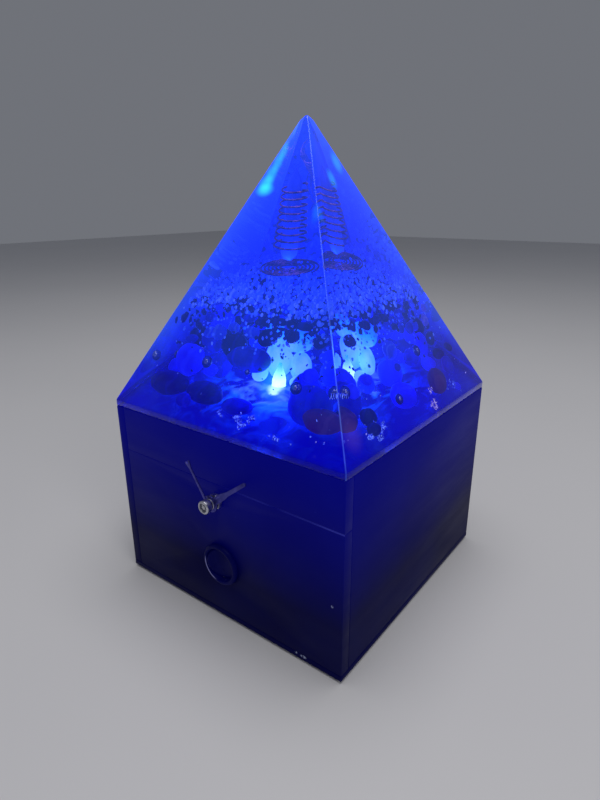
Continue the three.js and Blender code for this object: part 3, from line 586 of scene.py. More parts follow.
def resinGlow(tree):
    # lamp light caught in the resin, more of it up the lamp's beam and towards the tip
    place = objectPlace(tree)
    toward = addNode(tree, "ShaderNodeVectorMath", operation="SUBTRACT")
    put(tree, toward.inputs[0], place)
    toward.inputs[1].default_value = (lampSpot.x, lampSpot.y, lampSpot.z - 0.004)
    unit = addNode(tree, "ShaderNodeVectorMath", {"Vector": toward.outputs[0]}, operation="NORMALIZE")
    beam = addNode(tree, "ShaderNodeSeparateXYZ", {"Vector": unit.outputs[0]}).outputs["Z"]
    cloud = noiseAt(tree, place, 26.0, 3.0, 0.5)
    wisp = noiseAt(tree, objectPlace(tree, (1, 1, 0.5)), 75.0, 4.0, 0.6)
    lifted = math2(tree, "ADD", beam, ramp(tree, cloud, 0.3, 0.7, -0.16, 0.16))
    lifted = math2(tree, "ADD", lifted, ramp(tree, wisp, 0.3, 0.7, -0.11, 0.11))
    share = addNode(tree, "ShaderNodeMapRange", {"Value": lifted, "From Min": 0.06, "From Max": 0.8},
                    interpolation_type="SMOOTHSTEP").outputs["Result"]
    near = blendColours(tree, share, resinLook["low"], resinLook["high"])
    far = blendColours(tree, share, resinLook["farLow"], resinLook["farHigh"])
    # most of the glow lies behind what is in the resin
    behind = addNode(tree, "ShaderNodeNewGeometry").outputs["Backfacing"]
    colour = blendColours(tree, behind, near, far)
    colour = blendColours(tree, onSkirt(tree, place), colour, resinLook["skirt"])
    # the four leaning edges catch a thin line of light
    parts = addNode(tree, "ShaderNodeSeparateXYZ", {"Vector": place}).outputs
    alongX, alongY = (math2(tree, "ABSOLUTE", parts[name]) for name in ("X", "Y"))
    across = math2(tree, "ABSOLUTE", math2(tree, "SUBTRACT", alongX, alongY))
    ridge = ramp(tree, across, 0.6 * mm, 0.1 * mm)
    ridge = math2(tree, "MULTIPLY", ridge, ramp(tree, noiseAt(tree, place, 70.0), 0.3, 0.6, 0.35, 1.0))
    colour = blendColours(tree, ridge, colour, resinLook["edge"], "ADD")
    for centre, size, strength, hue in glints:
        lit = math2(tree, "MULTIPLY", spot(tree, place, centre, size), strength)
        colour = blendColours(tree, lit, colour, resinLook[hue], "ADD")
    return colour


def makeResin():
    made, tree, shader = newMaterial("clearResin", IOR=1.5, Transmission_Weight=1.0,
                                     Specular_IOR_Level=resinLook["shine"],
                                     Specular_Tint=(*resinLook["mirror"], 1))
    place = objectPlace(tree)
    ripple = noiseAt(tree, place, 38.0, 2.0, 0.45)
    smear = noiseAt(tree, place, 160.0, 4.0, 0.6)
    put(tree, shader.inputs["Base Color"],
        blendColours(tree, onSkirt(tree, place), resinLook["tint"], resinLook["skirtTint"]))
    put(tree, shader.inputs["Roughness"], ramp(tree, smear, 0.45, 0.75, 0.015, 0.08))
    put(tree, shader.inputs["Emission Color"], resinGlow(tree))
    shader.inputs["Emission Strength"].default_value = 1.0
    addBump(tree, shader, ripple, 0.1, 0.0005)
    absorb = addNode(tree, "ShaderNodeVolumeAbsorption", {"Color": (*resinLook["absorb"], 1),
                                                          "Density": resinLook["density"]})
    tree.links.new(absorb.outputs[0], tree.nodes["Material Output"].inputs["Volume"])
    return made


# pools of light in front of the lamp (place and half sizes in millimetres), colours, and
# how far from the sides of the casting the shade at the rim begins and ends
backing = {
    "pools": [((-1.2, -5.6, 104.8), (6.0, 6.0, 4.0)), ((-0.2, -9.4, 104.8), (5.0, 5.0, 4.0)),
              ((1.6, -13.0, 104.8), (3.8, 3.8, 4.0))],
    "hot": (4.0, 5.0, 1.8), "rim": (0.0004, 0.0004, 0.07), "rimFrom": 9.0, "rimTo": 1.0,
}


def makeBacking():
    # the glossy, rippled bed that the resin was poured on
    made, tree, shader = newMaterial("rippledBed", Specular_IOR_Level=0.12)
    lamp = useGroup(tree, lampGlow, Near=0.006, Far=0.085)
    place = objectPlace(tree, (1, 0.6, 1))
    waves = addNode(tree, "ShaderNodeTexNoise", {"Vector": place, "Scale": 75.0, "Detail": 3.0,
                                                 "Distortion": 1.2}).outputs["Fac"]
    crest = ramp(tree, waves, 0.46, 0.6)
    colour = blendColours(tree, crest, (0.0008, 0.0006, 0.2), (0.004, 0.006, 0.5))
    put(tree, shader.inputs["Base Color"], colour)
    put(tree, shader.inputs["Roughness"], ramp(tree, waves, 0.3, 0.7, 0.12, 0.3))
    lit = blendColours(tree, math2(tree, "MULTIPLY", crest, 0.8), (0.0, 0.0006, 0.26),
                       lamp.outputs["Colour"])
    # white-hot around the lamp, and shaded under the rim of the casting
    flat = objectPlace(tree)
    for centre, size in backing["pools"]:
        lit = blendColours(tree, spot(tree, flat, centre, size), lit, backing["hot"])
    parts = addNode(tree, "ShaderNodeSeparateXYZ", {"Vector": flat}).outputs
    reach = math2(tree, "MAXIMUM", math2(tree, "ABSOLUTE", parts["X"]), math2(tree, "ABSOLUTE", parts["Y"]))
    shade = ramp(tree, reach, halfSide - backing["rimFrom"] * mm, halfSide - backing["rimTo"] * mm)
    lit = blendColours(tree, shade, lit, backing["rim"])
    put(tree, shader.inputs["Emission Color"], lit)
    shader.inputs["Emission Strength"].default_value = 1.0
    addBump(tree, shader, waves, 0.3, 0.001)
    return made


def makeFloor():
    made, tree, shader = newMaterial("paleFloor", Roughness=0.55)
    cloud = noiseAt(tree, objectPlace(tree), 3.0, 3.0)
    put(tree, shader.inputs["Base Color"], blendColours(tree, cloud, (0.6, 0.6, 0.62), (0.64, 0.64, 0.66)))
    return made


look = {name: makeMetal(name) for name in metals}
look.update({name: makePlastic(name) for name in plastics})
look.update({name: makeStone(name) for name in stones})
look.update({
    "navyPaint": makeNavyPaint(), "bareWood": makeBareWood(), "felt": makeFelt(),
    "circuitBoard": makeBoard(), "crystal": makeCrystal(), "lens": makeLens(), "resin": makeResin(),
    "rippledBed": makeBacking(),
    "silverFoil": makeFoil("silverFoil", (0.3, 0.45, 1.0), (0.08, 0.12, 0.7)),
    "pinkFoil": makeFoil("pinkFoil", (0.75, 0.6, 0.85), (0.35, 0.25, 0.6)),
})
slotLook = {
    "painted_wood": "navyPaint", "bare_wood": "bareWood", "felt": "felt", "steel": "platedSteel",
    "brass": "warmBrass", "copper": "copperWire", "aluminium": "satinAluminium",
    "black_plastic": "blackPlastic", "white_plastic": "paleCasePlastic",
    "circuit_board": "circuitBoard", "cell_sleeve": "cellSleeve", "clear_resin": "resin",
    "quartz_chips": "quartzChip", "dark_chips": "darkStone", "blue_stone": "blueStone",
    "amber_stone": "amberStone", "rock_crystal": "crystal", "led_lens": "lens",
}
print("materials made")


# making and finishing meshes

def newPiece(name, mesh, material, body="box", replaces=()):
    mesh.name = name
    mesh.materials.clear()
    mesh.materials.append(look[material])
    piece = bpy.data.objects.new(name, mesh)
    scene.collection.objects.link(piece)
    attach(piece, body)
    if replaces:
        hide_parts(*replaces)
    return piece


def meshFrom(build, name="shape"):
    shape = bmesh.new()
    build(shape)
    bmesh.ops.recalc_face_normals(shape, faces=shape.faces)
    mesh = bpy.data.meshes.new(name)
    shape.to_mesh(mesh)
    shape.free()
    return mesh


def shadeByAngle(mesh, degrees=35):
    mesh.shade_smooth()
    mesh.set_sharp_from_angle(angle=math.radians(degrees))


def bevelled(mesh, width, segments=2, angle=30):
    # a rounded copy of a plain mesh, for edges that catch the light
    holder = bpy.data.objects.new("holder", mesh)
    scene.collection.objects.link(holder)
    soften = holder.modifiers.new("soften", "BEVEL")
    soften.width, soften.segments = width, segments
    soften.limit_method, soften.angle_limit = "ANGLE", math.radians(angle)
    soften.harden_normals = False
    done = bpy.data.meshes.new_from_object(holder.evaluated_get(bpy.context.evaluated_depsgraph_get()))
    bpy.data.objects.remove(holder)
    shadeByAngle(done)
    return done


def cleanCopy(node):
    mesh = frame["nodes"][node].data.copy()
    shape = bmesh.new()
    shape.from_mesh(mesh)
    bmesh.ops.remove_doubles(shape, verts=shape.verts, dist=2e-6)
    bmesh.ops.dissolve_limit(shape, angle_limit=math.radians(0.8), verts=shape.verts, edges=shape.edges)
    shape.to_mesh(mesh)
    shape.free()
    return mesh


def refine(node, width, segments=2, angle=30, material=None):
    mesh = bevelled(cleanCopy(node), width, segments, angle)
    return newPiece(node + "_finished", mesh, material or slotLook[slotOf[node]], bodyOf[node],
                    (node,))


def turned(profile, centre, axis, sides=64):
    # a closed turned shape: [radius, distance along the axis] points from axis to axis, or a ring
    def build(shape):
        loops = []
        for radius, along in profile:
            if radius == 0:
                loops.append([shape.verts.new(point(0, 0, along))])
                continue
            loops.append([shape.verts.new(point(radius, 2 * math.pi * i / sides, along))
                          for i in range(sides)])
        closed = profile[0][0] != 0
        pairs = list(zip(loops, loops[1:])) + ([(loops[-1], loops[0])] if closed else [])
        for a, b in pairs:
            for i in range(sides):
                j = (i + 1) % sides
                corners = [a[i % len(a)], a[j % len(a)], b[j % len(b)], b[i % len(b)]]
                shape.faces.new(list(dict.fromkeys(corners)))

    def point(radius, turn, along):
        u, v = radius * math.cos(turn), radius * math.sin(turn)
        return {"y": (centre[0] + u, centre[1] + along, centre[2] + v),
                "z": (centre[0] + u, centre[1] + v, centre[2] + along),
                "x": (centre[0] + along, centre[1] + u, centre[2] + v)}[axis]

    return meshFrom(build)


# making and running geometry trees

def newNodeShape(name, inputs):
    tree = bpy.data.node_groups.new(name, "GeometryNodeTree")
    tree.interface.new_socket("Geometry", in_out="OUTPUT", socket_type="NodeSocketGeometry")
    tree.interface.new_socket("Geometry", in_out="INPUT", socket_type="NodeSocketGeometry")
    kinds = {float: "NodeSocketFloat", int: "NodeSocketInt", tuple: "NodeSocketVector"}
    for label, value in inputs.items():
        kind = "NodeSocketMaterial" if label == "Material" else kinds[type(value)]
        socket = tree.interface.new_socket(label, in_out="INPUT", socket_type=kind)
        if label != "Material":
            socket.default_value = value
    return tree, tree.nodes.new("NodeGroupInput").outputs, tree.nodes.new("NodeGroupOutput")


def endShape(tree, given, out, geometry):
    real = addNode(tree, "GeometryNodeRealizeInstances", {"Geometry": geometry})
    shown = addNode(tree, "GeometryNodeSetMaterial", {"Geometry": real.outputs[0],
                                                      "Material": given["Material"]})
    put(tree, out.inputs["Geometry"], shown.outputs[0])


def growMesh(tree, values):
    # runs a node tree on an empty holder and keeps the result as a plain mesh
    holder = bpy.data.objects.new("holder", bpy.data.meshes.new("holder"))
    scene.collection.objects.link(holder)
    modifier = holder.modifiers.new("grow", "NODES")
    modifier.node_group = tree
    for item in tree.interface.items_tree:
        if item.in_out == "INPUT" and item.name in values:
            value = values[item.name]
            modifier[item.identifier] = look[value] if item.name == "Material" else value
    bpy.context.view_layer.update()
    grown = bpy.data.meshes.new_from_object(holder.evaluated_get(bpy.context.evaluated_depsgraph_get()))
    holder.modifiers.remove(modifier)
    bpy.data.objects.remove(holder)
    return grown


# the resin pyramid

# in millimetres; the inset keeps the casting inside its own box
resinShape = {"edge": 1.1, "edgeSteps": 3, "inset": 0.02, "tipHeight": 2.2, "tipHalf": 0.55, "tipDrop": 0.1}


def makePyramid():
    def build(shape):
        tipLow = tipTop - resinShape["tipHeight"] * mm
        wide = halfSide - resinShape["inset"] * mm
        rings = [(wide, resinLow.z), (wide, skirtTop), (halfAt(tipLow), tipLow),
                 (resinShape["tipHalf"] * mm, tipTop - resinShape["tipDrop"] * mm)]
        corners = ((-1, -1), (1, -1), (1, 1), (-1, 1))
        loops = [[shape.verts.new((x * w, y * w, z)) for x, y in corners] for w, z in rings]
        shape.faces.new(loops[0][::-1])
        shape.faces.new(loops[-1])
        for low, high in zip(loops, loops[1:]):
            for i in range(4):
                j = (i + 1) % 4
                shape.faces.new((low[i], low[j], high[j], high[i]))

    mesh = bevelled(meshFrom(build), resinShape["edge"] * mm, resinShape["edgeSteps"], 12)
    newPiece("resin_pyramid", mesh, "resin", "box",
             ("resin_base", "chip_bed", "quartz_bed", "resin_tip"))


# the thin bed under the resin, and a glowing cone painted over the lamp, standing for its light seen
# through the resin
bed = {"low": 0.12, "thick": 0.3, "margin": 0.5, "hole": 4.5, "sides": 40}
glowCone = {"foot": 3.8, "top": 1.1, "height": 13.0, "lift": 0.05}


def makeBed():
    low = resinLow.z + bed["low"] * mm
    high = low + bed["thick"] * mm
    reach = halfSide - bed["margin"] * mm
    sides = bed["sides"]

    def build(shape):
        def ringOf(z):
            edge, hole = [], []
            for i in range(sides):
                turn = 2 * math.pi * i / sides
                u, v = math.cos(turn), math.sin(turn)
                far = reach / max(abs(u), abs(v))
                edge.append(shape.verts.new((u * far, v * far, z)))
                hole.append(shape.verts.new((lampSpot.x + u * bed["hole"] * mm,
                                             lampSpot.y + v * bed["hole"] * mm, z)))
            return edge, hole

        (edgeLow, holeLow), (edgeHigh, holeHigh) = ringOf(low), ringOf(high)
        for i in range(sides):
            j = (i + 1) % sides
            shape.faces.new((edgeHigh[i], edgeHigh[j], holeHigh[j], holeHigh[i]))
            shape.faces.new((edgeLow[j], edgeLow[i], holeLow[i], holeLow[j]))
            shape.faces.new((edgeLow[i], edgeLow[j], edgeHigh[j], edgeHigh[i]))
            shape.faces.new((holeLow[j], holeLow[i], holeHigh[i], holeHigh[j]))

    newPiece("rippled_bed", meshFrom(build), "rippledBed", "box")


def makeLampGlowCone():
    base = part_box("led_lens")[1].z + glowCone["lift"] * mm
    foot, top = glowCone["foot"] * mm, glowCone["top"] * mm
    tall = resinLow.z + glowCone["height"] * mm - base
    profile = [(0, 0), (foot, 0), (foot, 0.25 * tall), (foot * 0.8, 0.5 * tall), (top * 1.3, 0.8 * tall),
               (top * 0.7, 0.97 * tall), (0, tall)]
    mesh = turned(profile, Vector((lampSpot.x, lampSpot.y, base)), "z", 32)
    mesh.shade_smooth()
    newPiece("lamp_glow_cone", mesh, "lens", "box")


makePyramid()
makeBed()
makeLampGlowCone()


# copper coils and a small spring

def coilTree():
    tree, given, out = newNodeShape("wire coil", {
        "Turns": 9.0, "Steps": 36, "Start": 0.009, "End": 0.0068, "Height": 0.033, "Wire": 0.0006,
        "Wander": 0.0003, "Place": (0.0, 0.0, 0.0), "Seed": 3.0, "Material": None})
    line = addNode(tree, "GeometryNodeCurveSpiral", {
        "Resolution": given["Steps"], "Rotations": given["Turns"], "Start Radius": given["Start"],
        "End Radius": given["End"], "Height": given["Height"]})
    here = addNode(tree, "GeometryNodeInputPosition").outputs[0]
    wobble = addNode(tree, "ShaderNodeTexNoise", {"Vector": here, "W": given["Seed"], "Scale": 110.0,
                                                  "Detail": 1.0}, noise_dimensions="4D")
    centred = addNode(tree, "ShaderNodeVectorMath", operation="SUBTRACT")
    put(tree, centred.inputs[0], wobble.outputs["Color"])
    centred.inputs[1].default_value = (0.5, 0.5, 0.5)
    shift = addNode(tree, "ShaderNodeVectorMath", operation="SCALE")
    put(tree, shift.inputs[0], centred.outputs[0])
    put(tree, shift.inputs["Scale"], math2(tree, "MULTIPLY", given["Wander"], 4.0))
    total = addNode(tree, "ShaderNodeVectorMath", operation="ADD")
    put(tree, total.inputs[0], shift.outputs[0])
    put(tree, total.inputs[1], given["Place"])
    bent = addNode(tree, "GeometryNodeSetPosition", {"Geometry": line.outputs[0],
                                                     "Offset": total.outputs[0]})
    section = addNode(tree, "GeometryNodeCurvePrimitiveCircle", {"Resolution": 8,
                                                                 "Radius": given["Wire"]})
    tube = addNode(tree, "GeometryNodeCurveToMesh", {"Curve": bent.outputs[0],
                                                     "Profile Curve": section.outputs[0],
                                                     "Fill Caps": True})
    endShape(tree, given, out, tube.outputs[0])
    return tree


# turns, radius at the start and at the end, radius of the wire, in millimetres
coils = {"copper_helix": (9.0, 8.9, 6.8, 0.55), "copper_spiral": (6.0, 3.4, 16.6, 0.6)}
coilAxis = (-6.0, 6.0)


def makeCoils():
    tree = coilTree()
    for node, (turns, start, end, wire) in coils.items():
        low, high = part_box(node)
        middle = (low + high) / 2
        rise = max(0.0, high.z - low.z - 2 * wire * mm) if node == "copper_helix" else 0.0
        foot = low.z + wire * mm if rise else middle.z
        mesh = growMesh(tree, {
            "Turns": turns, "Steps": 40, "Start": start * mm, "End": end * mm, "Height": rise,
            "Wire": wire * mm, "Wander": 0.0002, "Material": "copperWire",
            "Place": (coilAxis[0] * mm, coilAxis[1] * mm, foot)})
        mesh.shade_smooth()
        newPiece(node + "_wire", mesh, "copperWire", "box", (node,))


# a little bright spring among the stones: middle in millimetres, length, radius, wire, turns
spring = {
    "middle": (58.5, -56.0, 131.5), "length": 6.5, "radius": 1.1, "wire": 0.2, "turns": 6.0, "turn": 37.0,
}


def makeSpring():
    radius, length = spring["radius"] * mm, spring["length"] * mm
    mesh = growMesh(coilTree(), {
        "Turns": spring["turns"], "Steps": 24, "Start": radius, "End": radius, "Height": length,
        "Wire": spring["wire"] * mm, "Wander": 0.0, "Material": "silverFoil",
        "Place": (0.0, 0.0, -length / 2)})
    lay = Matrix.Rotation(math.radians(spring["turn"]), 4, "Z") @ Matrix.Rotation(math.radians(90), 4, "Y")
    mesh.transform(Matrix.Translation(Vector(spring["middle"]) * mm) @ lay)
    mesh.shade_smooth()
    newPiece("small_spring", mesh, "silverFoil", "box")


makeCoils()
makeSpring()


# stones, chips, balls and foil

def chipTree():
    # loose angular chips between two heights, kept inside the leaning faces
    tree, given, out = newNodeShape("loose chips", {
        "Count": 500, "Low": 0.149, "High": 0.157, "Half Low": 0.05, "Half High": 0.045,
        "Smallest": 0.0012, "Largest": 0.003, "Flatness": 0.6, "Seed": 1, "Sides": 1,
        "Material": None})

    def pick(kind, low, high, salt):
        made = addNode(tree, "FunctionNodeRandomValue", data_type=kind)
        shown = [s for s in made.inputs if s.enabled]
        put(tree, shown[0], low)
        put(tree, shown[1], high)
        put(tree, made.inputs["Seed"], math2(tree, "ADD", given["Seed"], float(salt)))
        return next(s for s in made.outputs if s.enabled)

    spread = pick("FLOAT_VECTOR", (-1.0, -1.0, 0.0), (1.0, 1.0, 1.0), 11)
    parts = addNode(tree, "ShaderNodeSeparateXYZ", {"Vector": spread}).outputs
    level = parts["Z"]
    width = addNode(tree, "ShaderNodeMapRange", {"Value": level, "To Min": given["Half Low"],
                                                 "To Max": given["Half High"]}).outputs["Result"]
    height = addNode(tree, "ShaderNodeMapRange", {"Value": level, "To Min": given["Low"],
                                                  "To Max": given["High"]}).outputs["Result"]
    place = addNode(tree, "ShaderNodeCombineXYZ", {
        "X": math2(tree, "MULTIPLY", parts["X"], width),
        "Y": math2(tree, "MULTIPLY", parts["Y"], width), "Z": height}).outputs[0]
    dots = addNode(tree, "GeometryNodePoints", {"Count": given["Count"], "Position": place})
    kinds = []
    for salt in (2.0, 7.0, 13.0):
        ball = addNode(tree, "GeometryNodeMeshIcoSphere", {"Radius": 1.0, "Subdivisions": given["Sides"]})
        here = addNode(tree, "GeometryNodeInputPosition").outputs[0]
        rough = addNode(tree, "ShaderNodeTexNoise", {"Vector": here, "W": salt, "Scale": 1.3,
                                                     "Detail": 1.0}, noise_dimensions="4D")
        size = addNode(tree, "ShaderNodeVectorMath", operation="SCALE")
        put(tree, size.inputs[0], here)
        put(tree, size.inputs["Scale"], ramp(tree, rough.outputs["Fac"], 0.3, 0.7, 0.45, 1.15))
        bent = addNode(tree, "GeometryNodeSetPosition", {"Geometry": ball.outputs["Mesh"],
                                                         "Position": size.outputs[0]})
        kinds.append(addNode(tree, "GeometryNodeGeometryToInstance", {"Geometry": bent.outputs[0]}))
    family = tree.nodes.new("GeometryNodeJoinGeometry")
    for kind in kinds:
        tree.links.new(kind.outputs[0], family.inputs[0])
    turn = pick("FLOAT_VECTOR", (0.0, 0.0, 0.0), (6.28, 6.28, 6.28), 23)
    scale = pick("FLOAT", given["Smallest"], given["Largest"], 31)
    shape = addNode(tree, "ShaderNodeCombineXYZ", {
        "X": scale, "Y": math2(tree, "MULTIPLY", scale, 0.75),
        "Z": math2(tree, "MULTIPLY", scale, given["Flatness"])}).outputs[0]
    rotation = addNode(tree, "FunctionNodeEulerToRotation", {"Euler": turn})
    placed = addNode(tree, "GeometryNodeInstanceOnPoints", {
        "Points": dots.outputs[0], "Instance": family.outputs[0], "Pick Instance": True,
        "Instance Index": pick("INT", 0, 2, 41), "Rotation": rotation.outputs[0], "Scale": shape})
    endShape(tree, given, out, placed.outputs[0])
    return tree


# count, low, high (above the table), margin, smallest, largest, flatness, material
chipBeds = {
    "crushed_quartz": (1500, 157.5, 165.5, 3.0, 0.9, 2.2, 0.7, "quartzChip"),
    "upper_quartz_crumbs": (160, 164.5, 169.0, 3.0, 0.6, 1.4, 0.7, "quartzChip"),
    "dark_chips": (340, 147.5, 156.5, 3.0, 1.6, 4.2, 0.4, "darkChip"),
    "lower_quartz_crumbs": (700, 138.0, 158.0, 3.0, 0.5, 1.5, 0.7, "quartzChip"),
    "loose_dark_chips": (90, 126.0, 148.0, 4.0, 0.9, 2.2, 0.5, "darkChip"),
    "silver_flakes": (260, 106.0, 136.0, 2.2, 0.3, 0.9, 0.06, "silverFoil"),
    "pink_flakes": (50, 106.0, 126.0, 2.2, 0.3, 0.9, 0.06, "pinkFoil"),
}


def makeChips():
    tree = chipTree()
    for seed, (name, values) in enumerate(chipBeds.items()):
        count, low, high, margin, smallest, largest, flat, material = values
        mesh = growMesh(tree, {
            "Count": count, "Low": low * mm, "High": high * mm,
            "Half Low": halfAt(low * mm) - margin * mm, "Half High": halfAt(high * mm) - margin * mm,
            "Smallest": smallest * mm, "Largest": largest * mm, "Flatness": flat,
            "Seed": 5 + seed, "Sides": 1, "Material": material})
        newPiece(name, mesh, material, "box")


makeChips()


def pebbleMesh(shape, centre, size, turn, seed, steps=3):
    # a tumbled stone: a ball pushed about by slow noise
    grown = bmesh.ops.create_icosphere(shape, subdivisions=steps, radius=1.0)["verts"]
    spin = Matrix.Rotation(turn, 3, "Z")
    for vertex in grown:
        offset = vertex.co * 0.9 + Vector((seed * 3.1, seed * 1.7, seed * 0.9))
        push = 1 + 0.16 * noise.noise(offset) + 0.05 * noise.noise(offset * 2.6)
        local = Vector((vertex.co.x * size[0], vertex.co.y * size[1], vertex.co.z * size[2])) * push
        vertex.co = spin @ local + centre


def makeNamedStones():
    # the three large stones keep the places and sizes of their solids
    for seed, node in enumerate(("round_stone", "long_stone", "amber_stone")):
        low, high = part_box(node)
        size = (high - low) / 2 * 0.96

        def build(shape, low=low, high=high, size=size, seed=seed):
            pebbleMesh(shape, (low + high) / 2, size, 0.0, seed + 4, 4)

        mesh = meshFrom(build)
        mesh.shade_smooth()
        material = "deepStone" if node == "long_stone" else slotLook[slotOf[node]]
        newPiece(node + "_tumbled", mesh, material, "box", (node,))


makeNamedStones()

# by material: x, y, z and three half sizes in millimetres, turn in degrees
placedStones = {
    "darkStone": [
        (-13.0, -37.0, 137.5, 8.0, 6.0, 7.0, 10), (7.0, -35.0, 143.5, 6.0, 4.5, 4.6, 60),
        (4.0, -36.0, 151.6, 4.2, 3.0, 2.2, 0), (14.0, -35.0, 152.6, 4.4, 3.0, 2.0, 25),
        (21.5, -36.0, 152.8, 3.8, 3.0, 2.4, -20), (29.0, -37.0, 153.2, 4.6, 3.0, 2.2, 10),
        (24.6, -40.0, 147.8, 3.6, 2.6, 2.6, 40), (38.0, -37.5, 156.0, 4.0, 2.6, 2.0, 0),
        (30.5, -22.0, 140.5, 4.2, 4.0, 3.2, 30), (39.0, -14.0, 150.0, 3.6, 4.4, 2.2, 70),
        (39.5, 3.0, 151.0, 3.2, 4.2, 2.2, 100),
    ],
    "deepStone": [
        (-5.0, -36.0, 152.5, 3.6, 2.6, 2.0, 15), (-31.0, -36.0, 149.5, 3.4, 3.0, 2.6, 0),
        (-1.0, -48.5, 110.0, 8.5, 6.0, 4.0, 15), (37.0, -38.0, 115.0, 13.0, 10.0, 10.0, -25),
        (42.5, 15.0, 144.0, 3.2, 4.2, 3.0, 60), (52.0, -2.0, 129.0, 2.4, 2.6, 2.2, 0),
        (22.0, 20.0, 138.0, 7.0, 6.0, 5.0, 30),
    ],
    "clearPebble": [
        (-19.5, -43.5, 145.5, 4.4, 3.8, 4.2, 0), (-11.0, -42.5, 148.5, 3.2, 3.0, 3.2, 0),
        (1.5, -42.3, 147.6, 3.8, 3.2, 3.0, 0), (-27.5, -40.0, 143.0, 4.0, 4.0, 3.0, 30),
        (43.0, 1.0, 134.5, 5.0, 5.6, 5.0, 30),
    ],
    "shadowStone": [
        (-50.0, -47.5, 112.5, 13.0, 9.5, 6.0, 20), (-24.0, -47.0, 112.0, 12.0, 9.0, 5.4, -10),
    ],
    "blueStone": [
        (29.5, -31.0, 118.0, 8.0, 7.0, 10.0, 20), (41.5, 34.0, 129.0, 5.0, 6.0, 8.0, 15),
        (51.0, 0.0, 112.0, 9.0, 9.0, 6.5, 40), (62.0, 50.0, 106.8, 4.0, 3.0, 1.6, 0),
        (25.0, 12.0, 112.0, 8.0, 9.0, 7.0, 0), (20.0, -6.0, 109.5, 6.0, 5.0, 4.6, 10),
    ],
    "amberStone": [
        (57.5, 31.0, 114.0, 8.0, 8.0, 7.0, 10),
    ],
    "lavenderStone": [
        (45.5, 40.0, 145.0, 3.0, 3.4, 3.6, 20), (43.0, 43.5, 151.0, 2.4, 2.4, 2.6, 60),
    ],
    "milkyQuartz": [
        (-8.0, 8.0, 116.0, 8.0, 6.5, 11.0, 10), (5.0, 9.5, 113.0, 7.0, 5.5, 8.0, -30),
        (2.0, 13.0, 127.0, 8.0, 6.0, 7.5, 40), (-13.0, -3.0, 110.5, 4.5, 5.0, 5.5, 0),
        (9.5, -0.5, 108.0, 4.5, 4.0, 3.6, 20), (-10.0, 4.0, 131.0, 6.0, 5.0, 6.5, 0),
    ],
}
# loose stones behind and at the back corners
stonePile = {
    "seed": 7, "tries": 700, "low": 111.0, "high": 146.0, "smallest": 4.0, "largest": 9.5,
    "margin": 2.0, "packing": 0.93,
}
# resin kept clear between the lamp and the two front faces, in millimetres
clearWay = {"behind": 8.0, "front": (-22.0, 34.0), "side": (-24.0, 18.0)}


def hidesTheLamp(x, y, size):
    frontLow, frontHigh = clearWay["front"]
    sideLow, sideHigh = clearWay["side"]
    front = y < lampSpot.y / mm + clearWay["behind"] and frontLow - size < x < frontHigh + size
    side = x > lampSpot.x / mm - clearWay["behind"] and sideLow - size < y < sideHigh + size
    return front or side


def pileStones():
    pick = random.Random(stonePile["seed"])
    kinds = {}
    taken = []
    for kind, stonesOfKind in placedStones.items():
        for x, y, z, a, b, c, turn in stonesOfKind:
            centre = Vector((x, y, z)) * mm
            taken.append((centre, max(a, b, c) * mm * 0.9))
            kinds.setdefault(kind, []).append((centre, (a * mm, b * mm, c * mm), math.radians(turn)))
    for node in ("round_stone", "long_stone", "amber_stone"):
        low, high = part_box(node)
        taken.append(((low + high) / 2, max(high - low) / 2 * 0.85))
    shares = ["blueStone"] * 3 + ["deepStone"] * 4 + ["darkStone"] * 2 + ["clearPebble"]
    for _ in range(stonePile["tries"]):
        z = pick.uniform(stonePile["low"], stonePile["high"])
        size = pick.uniform(stonePile["smallest"], stonePile["largest"])
        reach = halfAt((z + size) * mm) / mm - size - stonePile["margin"]
        x, y = pick.uniform(-reach, reach), pick.uniform(-reach, reach)
        turn, kind = pick.uniform(0, 6.28), pick.choice(shares)
        shape = (size * mm, size * pick.uniform(0.7, 0.95) * mm, size * pick.uniform(0.5, 0.8) * mm)
        centre = Vector((x, y, z)) * mm
        if hidesTheLamp(x, y, size) or z - size < resinLow.z / mm + 1:
            continue
        touching = ((centre - other).length < (size * mm + r) * stonePile["packing"] for other, r in taken)
        if any(touching):
            continue
        taken.append((centre, size * mm))
        kinds.setdefault(kind, []).append((centre, shape, turn))
    for kind, stonesOfKind in sorted(kinds.items()):
        def build(shape, chosen=stonesOfKind):
            for seed, (centre, size, turn) in enumerate(chosen):
                pebbleMesh(shape, centre, size, turn, seed)

        mesh = meshFrom(build)
        mesh.shade_smooth()
        newPiece("loose_" + kind, mesh, kind, "box")


pileStones()

# x, y, z in millimetres and radius
metalBalls = [
    (-57.8, -54.3, 130.0, 3.0), (-20.6, -53.2, 132.2, 3.1), (35.1, -52.6, 129.1, 3.0),
    (6.5, -53.4, 131.8, 1.4), (54.3, -50.1, 130.1, 3.0), (52.0, 20.0, 133.0, 3.0),
    (30.0, 52.0, 134.0, 3.1), (-24.0, 55.0, 128.0, 3.0), (-55.0, 10.0, 131.0, 3.0),
    (-60.0, -22.0, 118.0, 3.0), (60.0, -12.0, 117.0, 2.8), (4.0, 58.0, 122.0, 3.0),
]


def makeBalls():
    def build(shape):
        for x, y, z, radius in metalBalls:
            move = Matrix.Translation((x * mm, y * mm, z * mm))
            bmesh.ops.create_uvsphere(shape, u_segments=28, v_segments=16, radius=radius * mm, matrix=move)

    mesh = meshFrom(build)
    mesh.shade_smooth()
    newPiece("metal_balls", mesh, "hematite", "box")


makeBalls()

